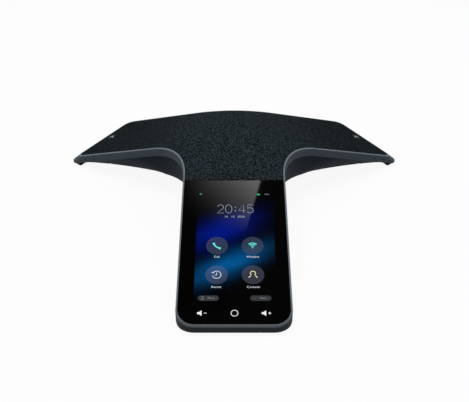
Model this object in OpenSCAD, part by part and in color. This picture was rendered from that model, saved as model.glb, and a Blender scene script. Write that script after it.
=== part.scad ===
/* [Body] */
// Length of the front arm from the hub to its end
front_len = 200; // [196:1:204]
// Length of each rear arm from the hub to its end
rear_len = 155.3; // [152:0.1:158]
// Width of every arm
arm_w = 86; // [84:0.5:88]
// Radius of the hollow corner between two arms
elbow_r = 58; // [55:0.5:61]
// How far the foot of a rear arm's end stands out past its top edge
end_reach = 10; // [9:0.1:11]
// Corner radius at the end of the front arm
front_tip_r = 13.8; // [12:0.1:15]
// Corner radius at the end of a rear arm
rear_tip_r = 8.7; // [8:0.1:10]
// Height at which the three sloping faces would meet
peak_h = 69; // [67:0.5:71]
// Height of the top edge at the end of the front arm
front_tip_h = 8; // [8:0.25:9]
// Height of the top edge at the end of a rear arm
rear_tip_h = 11.25; // [10:0.25:12]
// Height over which two faces melt into each other
blend = 22; // [20:0.5:23]

/* [Shells] */
// Height of the side band of the upper housing
band_h = 8.2; // [7.8:0.1:8.6]
// Wall of the upper housing
upper_wall = 2.3; // [2.1:0.1:2.5]
// Width of the rim seen from above
rim_w = 1.3; // [1.2:0.1:1.6]
// How much wider the rim is across the front
front_rim = 0.85; // [0.6:0.05:1]
// Bevel along the outer top edge
rim_bevel = 0.7; // [0.5:0.1:0.8]
// How far the ledge under the covers reaches in from the side
ledge_reach = 9.3; // [8.5:0.1:9.5]
// Depth of the ledge below the top face
ledge_drop = 2.3; // [2.2:0.05:2.4]
// Thickness of the ledge
ledge_t = 1.6; // [1.4:0.1:1.6]
// How far the underside is drawn in from the side
undercut = 13; // [12:0.5:14]
// Height of the arched underside at the hub
arch_h = 17.5; // [16.5:0.5:18]
// Thickness of the floor of the lower housing
floor_t = 1.5; // [1.3:0.1:1.5]
// Lowest level of the lower housing
base_z = 1.2; // [1.1:0.1:1.3]

/* [Covers] */
// Distance from the hub to the joint between fabric and glass
seam_y = 65.5; // [65:0.25:66]
// Thickness of the cover glass
glass_t = 1.6; // [1.4:0.1:1.6]
// Corner radius of the cover glass at the front
glass_r = 12.2; // [11:0.1:13]
// Width of the display panel
panel_w = 66.4; // [65:0.1:66.6]
// Thickness of the grille fabric
fabric_t = 0.5; // [0.3:0.05:0.55]
// Diameter of a mute light
mute_d = 9; // [8:0.1:10]

/* [Speaker] */
// Outer diameter of the driver
driver_d = 70; // [68:0.5:70]
// Height of the driver's front face
driver_z = 49; // [48:0.25:49.5]
// How far the driver sits in front of the hub
driver_y = 10; // [9:0.25:10.5]
// Inner diameter of the voice coil's former
former_d = 19.2; // [19:0.1:19.4]
// Free travel of the cone each way
cone_travel = 2; // [1:0.25:2]

/* [Ports] */
// Width of the recess for the ports
bay_w = 54; // [54:0.5:56]
// Height of the recess for the ports
bay_h = 20; // [19:0.5:21]
// Level of the bottom of the recess
bay_z = 20; // [19.8:0.1:20.2]
// Distance from the hub to the back wall of the recess
bay_y = 50; // [49.9:0.05:50.1]

/* [Hidden] */

$fn = 64;
tiny = 0.01;
half_w = arm_w / 2;
arm_dirs = [-90, 30, 150];
body_lens = [front_len, rear_len, rear_len];
body_tips = [front_tip_r, rear_tip_r, rear_tip_r];
front_slope = (peak_h - front_tip_h) / front_len;
rear_slope = (peak_h - rear_tip_h) / rear_len;
front_tilt = atan(front_slope);
rear_tilt = atan(rear_slope);

// The origin is the middle of the footprint, so the hub stands behind it.
corner_growth = 0.16;
end_r = rear_tip_r + corner_growth * end_reach;
rear_reach = (rear_len + end_reach - end_r) * sin(30) + (half_w - end_r) * cos(30) + end_r;
hub_y = (front_len - rear_reach) / 2;

// Two slopes melt into each other over the height `blend`.
function melt(a, b) = max(a, b) + pow(max(blend - abs(a - b), 0), 2) / (4 * blend);
function rear_fall(p, side) = (side * cos(30) * p.x + sin(30) * p.y) * rear_slope;
function fall(p) = melt(melt(rear_fall(p, 1), rear_fall(p, -1)), -p.y * front_slope);
function crown(p) = peak_h - fall(p);
function below(drop) = function(p) crown(p) - drop;

// The underside is an arch that comes down towards the ends of the arms.
arch_fall = 55;
seam_min = 2.3;
function belly(p) = max(base_z, arch_h * (1 - pow(fall(p) / arch_fall, 2)));
function floor_top(p) = belly(p) + floor_t;
function seam(p) = max(crown(p) - band_h, seam_min);

// Outline of the Y seen from above, as rings of matching points.
elbow_steps = 6;
side_steps = 5;
tip_steps = 6;
fill_steps = 5;
rows = elbow_steps + side_steps + tip_steps + 1;
ring_n = 6 * rows;
elbow_t = (half_w + elbow_r) / tan(60);
inner_tip_r = 4;

function place(dir, t, n) = [t * cos(dir) - n * sin(dir), t * sin(dir) + n * cos(dir)];
function corner_r(tip, inset) = max(tip - inset, min(tip, inner_tip_r));
function half_row(j, len, tip, inset) =
  let (r = corner_r(tip, inset), end = len - inset, side = half_w - inset)
  j <= elbow_steps
    ? let (a = 30 * (1 - j / elbow_steps))
      [elbow_t - (elbow_r + inset) * sin(a), half_w + elbow_r - (elbow_r + inset) * cos(a)]
    : j <= elbow_steps + side_steps
      ? [elbow_t + (end - r - elbow_t) * (j - elbow_steps) / side_steps, side]
      : j < rows
        ? let (a = 90 * (j - elbow_steps - side_steps) / tip_steps)
          [end - r + r * sin(a), side - r + r * cos(a)]
        : [end, 0];
function spine_t(j, len, tip, inset) =
  let (r = corner_r(tip, inset), end = len - inset)
  j <= elbow_steps
    ? elbow_t * j / elbow_steps
    : j <= elbow_steps + side_steps
      ? elbow_t + (end - r - elbow_t) * (j - elbow_steps) / side_steps
      : end - r + 0.8 * r * (j - elbow_steps - side_steps) / (tip_steps + 1);
function row_of(m) = m <= rows ? m : 2 * rows - m;

// A section is [inset from the outline, height rule, [front, rear] extra length of the arms].
function extra(s, k) = len(s) < 3 ? 0 : s[2][min(k, 1)];
function arm_end(s, k, lens) = lens[k] + extra(s, k);
function arm_tip(s, k, tips) = tips[k] + corner_growth * max(extra(s, k), 0);

// One ring of a section, at a share of the way to the spine.
function ring(s, share, lens, tips) = [
  for (k = [0:2], m = [0:2 * rows - 1])
    let (
      j = row_of(m),
      edge = half_row(j, arm_end(s, k, lens), arm_tip(s, k, tips), s[0]),
      spine = spine_t(j, arm_end(s, k, lens), arm_tip(s, k, tips), s[0]),
      t = edge[0] + share * (spine - edge[0]),
      n = edge[1] * (1 - share) * (m <= rows ? -1 : 1),
      p = place(arm_dirs[k], t, n)
    )
    [p.x, p.y, s[1](p)]
];
function spine(s, lens, tips) = [
  for (i = [0:3 * rows])
    let (
      k = i == 0 ? 0 : floor((i - 1) / rows),
      j = i == 0 ? 0 : i - k * rows,
      p = place(arm_dirs[k], spine_t(j, arm_end(s, k, lens), arm_tip(s, k, tips), s[0]), 0)
    )
    [p.x, p.y, s[1](p)]
];
function spine_index(i) =
  let (k = floor(i / (2 * rows)), j = row_of(i % (2 * rows)))
  j == 0 ? 0 : k * rows + j;
function next(i) = (i + 1) % ring_n;
function wall_faces(low, high) = [
  for (i = [0:ring_n - 1])
    each [[low + i, high + i, low + next(i)], [low + next(i), high + i, high + next(i)]]
];
// The panel before an arm's end is split the other way, so that no face is a line.
function spine_panel(a, b, c, d, before_end) =
  before_end ? [[a, c, d], [a, d, b]] : [[a, c, b], [b, c, d]];
function spine_faces(ring_at, spine_at, up) = [
  for (i = [0:ring_n - 1])
    let (
      a = ring_at + i,
      b = ring_at + next(i),
      c = spine_at + spine_index(i),
      d = spine_at + spine_index(next(i))
    )
    for (f = spine_panel(a, b, c, d, next(i) % (2 * rows) == rows))
      up ? f : [f[0], f[2], f[1]]
];

// A tube-like solid: the last ring joins the first.
module hoop(sections, lens = body_lens, tips = body_tips) {
  count = len(sections);
  points = [for (s = sections) each ring(s, 0, lens, tips)];
  faces = [for (i = [0:count - 1]) each wall_faces(i * ring_n, ((i + 1) % count) * ring_n)];
  polyhedron(points, faces, convexity = 8);
}

// A closed solid: the first and last rings are filled in to the spine.
module plate(sections, lens = body_lens, tips = body_tips) {
  count = len(sections);
  first = sections[0];
  last = sections[count - 1];
  fill = [for (i = [1:fill_steps - 1]) i / fill_steps];
  under = [
    for (i = [fill_steps - 1:-1:1])
      ring(first, i / fill_steps, lens, tips)
  ];
  walls = [for (s = sections) ring(s, 0, lens, tips)];
  over = [for (share = fill) ring(last, share, lens, tips)];
  rings = concat(under, walls, over);
  spine_at = len(rings) * ring_n;
  spine_n = 3 * rows + 1;
  points = concat(
    [for (r = rings) each r],
    spine(first, lens, tips),
    spine(last, lens, tips)
  );
  faces = concat(
    [for (i = [0:len(rings) - 2]) each wall_faces(i * ring_n, (i + 1) * ring_n)],
    spine_faces(0, spine_at, false),
    spine_faces((len(rings) - 1) * ring_n, spine_at + spine_n, true)
  );
  polyhedron(points, faces, convexity = 8);
}

// Frames: the hub, the plane of the glass and the plane of the right rear arm.
module at_hub() {
  translate([0, hub_y, 0]) children();
}
module on_glass() {
  at_hub() translate([0, 0, peak_h]) rotate([front_tilt, 0, 0]) children();
}
module on_right_arm(t, n = 0) {
  at_hub() translate([0, 0, peak_h]) rotate([0, 0, 30]) rotate([0, rear_tilt, 0])
    translate([t / cos(rear_tilt), n, 0]) children();
}
module on_left() {
  mirror([1, 0, 0]) children();
}
module box(x, y, z) {
  translate([x[0], y[0], z[0]]) cube([x[1] - x[0], y[1] - y[0], z[1] - z[0]]);
}
module rod(r, z) {
  translate([0, 0, z[0]]) cylinder(r = r, h = z[1] - z[0]);
}
module tube(r_out, r_in, z) {
  difference() {
    rod(r_out, z);
    rod(r_in, [z[0] - 1, z[1] + 1]);
  }
}

// Distances along the slope of the glass
function along(y) = y / cos(front_tilt);
glass_low = -0.1 - glass_t;
sensor_t = 0.3;
sensor_low = glass_low - sensor_t;
panel_low = -3.72;
frame_top = -3.75;
frame_low = -5.2;
board_top = -9;
board_low = -10.6;
panel_back = -along(77);
panel_front = -along(184);
display_screw_ys = [93, 134, 176];

// Housing screws: six into the rim's ledge and two pairs into the display frame
screw_join = 9;
screw_grip = 2.4;
screw_bite = 5;
screw_r = 1.25;
boss_r = 4.2;
rear_screws = [
  for (side = [-1, 1], at = [[124, -32.5], [124, 32.5], [66, 32.5]])
    let (p = place(30, at[0], at[1])) [side * p.x, p.y]
];
elbow_screw = place(-30, (half_w + elbow_r) / sin(60) - elbow_r - 10.5, 0);
elbow_screws = [for (side = [-1, 1]) [side * elbow_screw.x, elbow_screw.y]];
rim_screws = concat(rear_screws, elbow_screws);
frame_screws = [for (side = [-1, 1], y = [108, 160]) [side * 31, -y]];
function join_z(p) = crown(p) - screw_join;

module at_screws(spots) {
  at_hub() for (p = spots) translate([p.x, p.y, join_z(p)]) children();
}

// Microphone ports in the front side of each rear arm
mic_ts = [134, 145.3];
mic_drop = 4.75;
mic_hole_d = 1.3;
module at_mics() {
  for (t = mic_ts)
    on_right_arm(t, -half_w) translate([0, 0, -mic_drop * cos(rear_tilt)]) children();
}
mute_t = 144.8;
mute_n = 2;

// Housings

module upper_housing() {
  color([0.24, 0.27, 0.31]) difference() {
    union() {
      at_hub() hoop([
        [0, function(p) seam(p), [0, end_reach]],
        [0, below(rim_bevel), [0, rim_bevel * 1.05]],
        [rim_bevel, below(0)],
        [rim_w, below(0), [-front_rim, 0]],
        [rim_w, below(ledge_drop), [-front_rim, 0]],
        [ledge_reach, below(ledge_drop)],
        [ledge_reach, below(ledge_drop + ledge_t)],
        [upper_wall, below(ledge_drop + ledge_t), [0, end_reach - 4]],
        [upper_wall, function(p) seam(p), [0, end_reach]]
      ]);
      on_glass() box(
        [-half_w + upper_wall + 1, half_w - upper_wall - 1],
        [-along(70), -along(61)],
        [-ledge_drop - ledge_t, -ledge_drop - 0.6]
      );
      at_screws(rim_screws) rod(3.4, [0, screw_join - ledge_drop - 1.35]);
    }
    at_screws(rim_screws) rod(screw_r + 0.03, [-1, screw_bite]);
    for (side = [0, 1]) mirror([side, 0, 0])
      at_mics() rotate([90, 0, 0]) cylinder(d = mic_hole_d, h = 8, center = true, $fn = 24);
    on_glass() for (side = [-1, 1], y = display_screw_ys)
      translate([side * 36.8, -along(y), -5]) cylinder(r = 0.7, h = 3.4, $fn = 24);
    mute_holes(0.15);
  }
}

// The flank is round near the hub and goes over into a straight chamfer along the arms.
floor_in = 2.4;
function straightness(p) = min(max((fall(p) - 20) / 16, 0), 1);
function flank_share(q, p) =
  let (w = straightness(p)) (1 - w) * sin(90 * q) + w * (1 - cos(90 * q));
function flank(q, gap) = [
  1 + gap + (undercut - 1) * (1 - cos(90 * q)),
  function(p) seam(p) + 0.12 * gap * (1 - q)
    + (belly(p) + gap * floor_t / floor_in - seam(p)) * flank_share(q, p),
  [0, end_reach]
];
tongue_in = 3.4;
tongue_out = upper_wall + 0.15;
function tongue(p) = max(min(seam(p) + 2, crown(p) - ledge_drop - ledge_t - 0.25), seam(p) + 0.1);

module lower_shell() {
  plate([
    for (i = [5:-1:0]) flank(i / 5, 0),
    [tongue_out, function(p) seam(p), [0, end_reach]],
    [tongue_out, function(p) tongue(p), [0, end_reach - 2.3]],
    [tongue_in, function(p) tongue(p), [0, end_reach - 2.3]],
    for (i = [1:5]) flank(i / 5, floor_in)
  ]);
}
// What fits inside the lower housing, with room above its edge
core_drop = 5;
module lower_core() {
  plate([
    for (i = [5:-1:0]) flank(i / 5, 0.2),
    [tongue_in, function(p) seam(p) + 0.05, [0, end_reach]],
    [tongue_in, below(core_drop), [0, end_reach]]
  ]);
}
bay_wall = 2;
module bay_block() {
  box(
    [-bay_w / 2 - bay_wall, bay_w / 2 + bay_wall],
    [bay_y - bay_wall, bay_y + 20],
    [bay_z - bay_wall, bay_z + bay_h + bay_wall]
  );
}

// Ports, as [left, right] and [bottom, top] of each opening in the recess wall
port_base = 21.8;
port_board_t = 1.6;
ethernet_x = [-8, 8];
ethernet_z = [port_base, port_base + 13.5];
usb_x = [11, 25];
usb_z = [port_base, port_base + 7];
service_x = [-19, -11];
service_z = [port_base, port_base + 3.2];
audio_x = -23.2;
audio_z = port_base + 3.1;
port_gap = 0.15;
port_posts = [[24, 31], [-24, 31], [-14.5, 38.5]];
module port_hole(x, z) {
  box([x[0] - port_gap, x[1] + port_gap], [bay_y - 5, bay_y + 5], [z[0] - port_gap, z[1] + port_gap]);
}

module lower_housing() {
  color([0.12, 0.14, 0.17]) difference() {
    union() {
      at_hub() {
        lower_shell();
        intersection() {
          union() {
            bay_block();
            for (p = concat(rim_screws, frame_screws)) translate(p)
              rod(boss_r, [belly(p) - 1, join_z(p)]);
          }
          lower_core();
        }
        for (p = port_posts) translate(p) rod(2.4, [belly(p) + 0.7, port_base - port_board_t]);
        for (x = [-17, 17], y = [-17, 17]) translate([x, y - driver_y])
          rod(4, [belly([x, y - driver_y]) + 0.7, chamber_low]);
      }
    }
    at_hub() {
      box([-bay_w / 2, bay_w / 2], [bay_y, bay_y + 30], [bay_z, bay_z + bay_h]);
      port_hole(ethernet_x, ethernet_z);
      port_hole(usb_x, usb_z);
      port_hole(service_x, service_z);
      translate([audio_x, bay_y, audio_z]) rotate([90, 0, 0])
        cylinder(r = 3, h = 12, center = true);
      box([13, 20], [bay_y - 5, bay_y + 5], [33, 36]);
      for (p = port_posts) translate(p) rod(0.9, [port_base - 4.6, port_base]);
      for (p = concat(rim_screws, frame_screws)) translate([p.x, p.y, join_z(p)]) {
        rod(1.7, [-screw_grip - 1, 1]);
        rod(3.1, [-60, -screw_grip]);
      }
    }
    foot_print("front", 0.1);
    foot_print("right", 0.1);
    on_left() foot_print("right", 0.1);
  }
}

// Covers

cover_inset = rim_w + 0.15;
cover_lens = [seam_y + cover_inset, rear_len, rear_len];
cover_tips = [1, rear_tip_r, rear_tip_r];
fabric_drop = 0.1;
grille_top = fabric_drop + fabric_t + 0.1;
grille_low = ledge_drop - 0.2;

module mute_holes(extra) {
  for (side = [0, 1]) mirror([side, 0, 0])
    on_right_arm(mute_t, mute_n) rod(mute_d / 2 + extra, [-6, 3]);
}
mute_board_z = [-8.6, -7.4];
module at_board_holes() {
  for (x = [-12, 5], y = [-16, 16]) translate([x, y]) children();
}
module at_mute_stakes() {
  for (side = [0, 1]) mirror([side, 0, 0]) on_right_arm(mute_t - 6) at_board_holes() children();
}
module speaker_grille() {
  color([0.08, 0.09, 0.1]) {
    difference() {
      at_hub() plate([
        [cover_inset, below(grille_low)],
        [cover_inset, below(grille_top)]
      ], cover_lens, cover_tips);
      mute_holes(0.15);
      at_hub() translate([0, -driver_y, 0])
        for (circle_no = [0:3])
          let (n = circle_no == 0 ? 1 : 6 * circle_no)
          for (i = [0:n - 1]) rotate([0, 0, i * 360 / n])
            translate([circle_no * 7, 0, peak_h - 26]) cylinder(r = 2, h = 24, $fn = 16);
    }
    at_mute_stakes() {
      rod(2, [mute_board_z[1], -1.3]);
      rod(1, [mute_board_z[0] - 0.8, -1.3]);
    }
  }
}
module grille_fabric() {
  color([0.15, 0.17, 0.19]) difference() {
    at_hub() plate([
      [cover_inset, below(fabric_drop + fabric_t)],
      [cover_inset, below(fabric_drop)]
    ], cover_lens, cover_tips);
    mute_holes(0.1);
  }
}

glass_half = half_w - rim_w - 0.15;
glass_back = -along(seam_y + 0.5);
glass_front = -along(front_len - rim_w - front_rim - 0.15);
module glass_shape(inset) {
  x = glass_half - inset;
  front = glass_front + inset;
  back = glass_back - inset;
  r = glass_r - inset;
  for (side = [-1, 1]) translate([side * (x - r), front + r]) circle(r = r);
  translate([-x, front + r]) square([2 * x, back - front - r]);
  translate([-x + r, front]) square([2 * x - 2 * r, r + tiny]);
}
module cover_glass() {
  color([0.02, 0.02, 0.03]) on_glass() translate([0, 0, glass_low])
    linear_extrude(glass_t) glass_shape(0);
}
module glass_gasket() {
  gasket_t = 0.48;
  color([0.1, 0.1, 0.1]) on_glass() translate([0, 0, glass_low - gasket_t]) linear_extrude(gasket_t)
    difference() {
      glass_shape(0.4);
      glass_shape(6.4);
    }
}
module touch_sensor() {
  color([0.3, 0.32, 0.35]) on_glass()
    box([-33.5, 33.5], [-along(190), -along(74)], [sensor_low, glass_low]);
}
module display_panel() {
  color([0.1, 0.2, 0.5]) on_glass()
    box([-panel_w / 2, panel_w / 2], [panel_front, panel_back], [panel_low, sensor_low]);
}
frame_half = half_w - upper_wall - 1.5;
board_posts = [for (x = [-20, 20], y = [80, 148]) [x, -along(y)]];
module display_frame() {
  color([0.55, 0.57, 0.6]) difference() {
    union() {
      on_glass() {
        box([-frame_half, frame_half], [-along(188), -along(72)], [frame_low, frame_top]);
        for (p = board_posts) translate(p) rod(2.6, [board_top, frame_low]);
      }
      at_screws(frame_screws) rod(3.4, [0, screw_join - 5]);
    }
    on_glass() {
      for (p = board_posts) translate(p) rod(0.9, [board_top - 1, frame_low + 0.4]);
      for (side = [-1, 1], y = display_screw_ys) translate([side * 36.8, -along(y)])
        rod(0.95, [frame_low - 1, frame_top + 1]);
      for (side = [0, 1]) mirror([side, 0, 0])
        box([33.2, frame_half + 1], [-along(88), -along(60)], [frame_low - 1, frame_top + 1]);
      box([-8, 8], [-along(163), -along(157)], [frame_low - 1, frame_top + 1]);
    }
    at_screws(frame_screws) rod(screw_r + 0.03, [-1, 3.2]);
  }
}

// Boards

board_half = 26;
flex_t = 0.3;
flex_z = board_low - 1.2;
module display_flex() {
  color([0.75, 0.5, 0.15]) on_glass() {
    box([-6, 6], [-along(160) - flex_t, -along(160)], [flex_z, panel_low - 0.02]);
    box([-6, 6], [-along(160), -along(141)], [flex_z, flex_z + flex_t]);
    box([-6, 6], [-along(146), -along(141)], [flex_z, board_low]);
  }
}
module main_board() {
  color([0.1, 0.35, 0.2]) on_glass() difference() {
    box([-board_half, board_half], [-along(153), -along(74)], [board_low, board_top]);
    for (p = board_posts) translate(p) rod(1.15, [board_low - 1, board_top + 1]);
  }
}
module processor_shield() {
  color([0.75, 0.76, 0.78]) on_glass()
    box([-17, 13], [-along(120), -along(92)], [board_low - 2.4, board_low]);
}
module wireless_module() {
  color([0.7, 0.71, 0.73]) on_glass()
    box([15.5, 25], [-along(112), -along(94)], [board_low - 2, board_low]);
}
module port_board() {
  color([0.1, 0.35, 0.2]) at_hub() difference() {
    box([-30, 30], [27.6, 47.6], [port_base - port_board_t, port_base]);
    for (p = port_posts) translate(p) rod(1.15, [port_base - 3, port_base + 1]);
  }
}
jack_front = bay_y - 0.2;
module ethernet_jack() {
  color([0.7, 0.71, 0.73]) at_hub() difference() {
    box(ethernet_x, [28.4, jack_front], ethernet_z);
    box([-5.9, 5.9], [34, jack_front + 1], [port_base + 1.4, port_base + 8.2]);
    box([-3.1, 3.1], [34, jack_front + 1], [port_base + 7, port_base + 11.4]);
  }
}
module usb_jack() {
  color([0.72, 0.73, 0.75]) at_hub() {
    difference() {
      box(usb_x, [36, jack_front], usb_z);
      box([usb_x[0] + 0.6, usb_x[1] - 0.6], [38, jack_front + 1], [usb_z[0] + 0.6, usb_z[1] - 0.6]);
    }
    box([usb_x[0] + 1.4, usb_x[1] - 1.4], [37, jack_front - 1], [usb_z[1] - 3.2, usb_z[1] - 1.4]);
  }
}
module service_jack() {
  color([0.72, 0.73, 0.75]) at_hub() difference() {
    box(service_x, [43.6, jack_front], service_z);
    box(
      [service_x[0] + 0.5, service_x[1] - 0.5],
      [45, jack_front + 1],
      [service_z[0] + 0.5, service_z[1] - 0.6]
    );
  }
}
module audio_jack() {
  color([0.05, 0.05, 0.06]) at_hub() difference() {
    union() {
      box([audio_x - 3.2, audio_x + 3.2], [35.6, bay_y - bay_wall - 0.2], [port_base, port_base + 6.2]);
      translate([audio_x, jack_front, audio_z]) rotate([90, 0, 0]) cylinder(r = 2.8, h = 4);
    }
    translate([audio_x, jack_front + 1, audio_z]) rotate([90, 0, 0]) cylinder(r = 1.8, h = 14);
  }
}
module power_transformer() {
  color([0.15, 0.15, 0.15]) at_hub() box([9.5, 20.5], [28.4, 34.8], [port_base, port_base + 10]);
}
module board_capacitors() {
  color([0.2, 0.22, 0.3]) at_hub() for (x = [-17, -11])
    translate([x, 31.5, 0]) rod(2.2, [port_base, port_base + 7]);
}
module port_flex() {
  low = 18.75;
  color([0.75, 0.5, 0.15]) at_hub() {
    box([-10, 10], [-76, 29], [low, low + flex_t]);
    box([-10, 10], [28, 29], [low, port_base - port_board_t]);
    box([-10, 10], [-76, -76 + flex_t], [low, 34]);
  }
}

// Speaker

driver_r = driver_d / 2;
chamber_r = driver_r + 0.2;
chamber_wall = 1.8;
chamber_low = 19.3;
flange_t = 1.4;
flange_low = driver_z - flange_t;
cone_edge_r = 24;
former_r = former_d / 2;
plate_top = 34;
module at_driver() {
  translate([0, hub_y - driver_y, 0]) children();
}
module spin(points) {
  rotate_extrude($fn = 96) polygon(points);
}
driver_screw_r = driver_r - 2.7;
module at_driver_screws() {
  at_driver() for (a = [45:90:315]) rotate([0, 0, a]) translate([driver_screw_r, 0, 0]) children();
}
module speaker_chamber() {
  color([0.1, 0.1, 0.11]) difference() {
    union() {
      at_driver() difference() {
        rod(chamber_r, [chamber_low, flange_low]);
        rod(chamber_r - chamber_wall, [chamber_low + 1.6, flange_low + 1]);
      }
      at_driver_screws() rod(2.4, [chamber_low + 1, flange_low - 0.2]);
    }
    at_driver_screws() rod(0.88, [flange_low - 8, flange_low + 1]);
  }
}
basket_back = 35.4;
basket_bore = 30;
spider_z = 38.4;
module speaker_basket() {
  color([0.25, 0.26, 0.28]) difference() {
    at_driver() difference() {
      spin([
        [driver_r, flange_low], [driver_r, driver_z], [basket_bore, driver_z], [basket_bore, cone_edge_z],
        [28.5, cone_edge_z], [21.5, spider_z], [17.6, spider_z], [17.6, spider_z - 1],
        [19.4, spider_z - 1], [17.6, basket_back], [10.9, basket_back], [10.9, plate_top],
        [18.9, plate_top], [29.4, flange_low]
      ]);
      for (a = [0:60:300]) rotate([0, 0, a])
        translate([0, 0, spider_z + 1]) rotate([90, 0, 90]) linear_extrude(40)
          polygon([[-6, 0], [6, 0], [8.5, 6.2], [-8.5, 6.2]]);
    }
    at_driver_screws() rod(1, [flange_low - 1, driver_z + 1]);
  }
}
module speaker_top_plate() {
  color([0.6, 0.62, 0.65]) at_driver() tube(17, 10.9, [plate_top - 2, plate_top]);
}
module speaker_magnet() {
  color([0.2, 0.2, 0.21]) at_driver() tube(16.5, 11.6, [plate_top - 8, plate_top - 2]);
}
module speaker_yoke() {
  color([0.6, 0.62, 0.65]) at_driver() {
    rod(17, [plate_top - 10.4, plate_top - 8]);
    rod(9.1, [plate_top - 8.5, plate_top]);
  }
}
coil_low = plate_top - 5.2;
cone_neck_z = 42;
module voice_coil() {
  color([0.75, 0.45, 0.25]) at_driver() {
    tube(former_r + 0.3, former_r, [coil_low, cone_neck_z]);
    tube(former_r + 0.7, former_r + 0.2, [coil_low + 0.6, coil_low + 6]);
  }
}
cone_edge_z = driver_z - 0.9;
module speaker_cone() {
  color([0.12, 0.12, 0.13]) at_driver() spin([
    [former_r + 0.3, cone_neck_z - 1.2], [former_r + 0.9, cone_neck_z - 1.2],
    [cone_edge_r, cone_edge_z - 0.5], [cone_edge_r, cone_edge_z],
    [former_r + 0.3, cone_neck_z]
  ]);
}
module dust_cap() {
  cap_r = 11;
  cap_h = 3.4;
  ball = (cap_r * cap_r + cap_h * cap_h) / (2 * cap_h);
  cap_z = cone_neck_z + 0.5;
  color([0.1, 0.1, 0.11]) at_driver() translate([0, 0, cap_z]) difference() {
    intersection() {
      translate([0, 0, cap_h - ball]) sphere(r = ball, $fn = 64);
      rod(cap_r, [0, cap_h + 1]);
    }
    intersection() {
      translate([0, 0, cap_h - ball]) sphere(r = ball - 0.4, $fn = 64);
      rod(cap_r - 0.5, [-tiny, cap_h + 1]);
    }
  }
}
module speaker_surround() {
  mid = (cone_edge_r + basket_bore) / 2;
  roll = (basket_bore - cone_edge_r) / 2 - 0.05;
  arc = [for (a = [180:-20:0]) [mid + roll * cos(a), cone_edge_z + 0.02 + roll * 0.8 * sin(a)]];
  inner = [for (a = [0:20:180])
    [mid + (roll - 0.5) * cos(a), cone_edge_z + 0.02 + (roll - 0.5) * 0.8 * sin(a)]];
  color([0.06, 0.06, 0.07]) at_driver() spin(concat(arc, inner));
}
module speaker_spider() {
  crests = 3;
  spider_in = former_r + 0.32;
  step = (20.6 - spider_in) / (crests * 8);
  top = [for (i = [0:crests * 8])
    [spider_in + i * step, spider_z + 0.75 + 0.45 * sin(i * 45)]];
  low = [for (i = [crests * 8:-1:0])
    [spider_in + i * step, spider_z + 0.45 + 0.45 * sin(i * 45)]];
  color([0.7, 0.55, 0.25]) at_driver() spin(concat(top, low));
}
module speaker_gasket() {
  color([0.15, 0.15, 0.15]) at_driver() tube(driver_r - 4.3, basket_bore, [driver_z, driver_z + 3.2]);
}

// Rear arms

module mute_light_shape() {
  on_right_arm(mute_t, mute_n) rod(mute_d / 2, [mute_board_z[1], -0.05]);
}
module mute_board_shape() {
  on_right_arm(mute_t - 6, 0) difference() {
    box([-16, 12], [-20, 20], mute_board_z);
    at_board_holes() rod(1.1, [-10, -6]);
  }
}
module mic_seal_shape() {
  on_right_arm(0, -half_w) difference() {
    box(
      [(mic_ts[0] - 4) / cos(rear_tilt), (mic_ts[1] + 1.6) / cos(rear_tilt)],
      [upper_wall + 0.1, 4],
      [-5.5, -3.75]
    );
    for (t = mic_ts) translate([t / cos(rear_tilt), 3, -mic_drop * cos(rear_tilt)])
      rotate([90, 0, 0]) cylinder(d = mic_hole_d, h = 4, center = true, $fn = 24);
  }
}
module mic_board_shape() {
  on_right_arm(0, -half_w) {
    box(
      [(mic_ts[0] - 5) / cos(rear_tilt), (mic_ts[1] + 3.6) / cos(rear_tilt)],
      [4.05, 4.85],
      [-7.4, -3.8]
    );
    for (t = mic_ts) translate([t / cos(rear_tilt), 0, 0]) box([-1.9, 1.9], [4.84, 5.9], [-6.2, -3.9]);
  }
}
module antenna_shape() {
  on_right_arm(100, half_w - upper_wall - 3.2) box([-20, 20], [-0.8, 0], [-7.6, -3.7]);
}
module arm_flex_shape() {
  start = 39;
  strip = [10.5, 15.5];
  tail = [10.8, 15.2];
  top = mute_board_z[0];
  tail_top = peak_h - start * rear_slope + (top - flex_t * 0.65) / cos(rear_tilt);
  on_right_arm(0) box([start / cos(rear_tilt), 132], strip, [top - flex_t, top]);
  at_hub() rotate([0, 0, 30]) box([start, start + flex_t], tail, [port_base, tail_top]);
}

module left_mute_light() { color([0.9, 0.92, 0.95]) on_left() mute_light_shape(); }
module right_mute_light() { color([0.9, 0.92, 0.95]) mute_light_shape(); }
module left_mute_board() { color([0.1, 0.35, 0.2]) on_left() mute_board_shape(); }
module right_mute_board() { color([0.1, 0.35, 0.2]) mute_board_shape(); }
module left_mic_seal() { color([0.08, 0.08, 0.08]) on_left() mic_seal_shape(); }
module right_mic_seal() { color([0.08, 0.08, 0.08]) mic_seal_shape(); }
module left_mic_board() { color([0.1, 0.35, 0.2]) on_left() mic_board_shape(); }
module right_mic_board() { color([0.1, 0.35, 0.2]) mic_board_shape(); }
module left_arm_flex() { color([0.75, 0.5, 0.15]) on_left() arm_flex_shape(); }
module right_arm_flex() { color([0.75, 0.5, 0.15]) arm_flex_shape(); }
module left_antenna() { color([0.1, 0.35, 0.2]) on_left() antenna_shape(); }
module right_antenna() { color([0.1, 0.35, 0.2]) antenna_shape(); }

// Feet and fasteners

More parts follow.
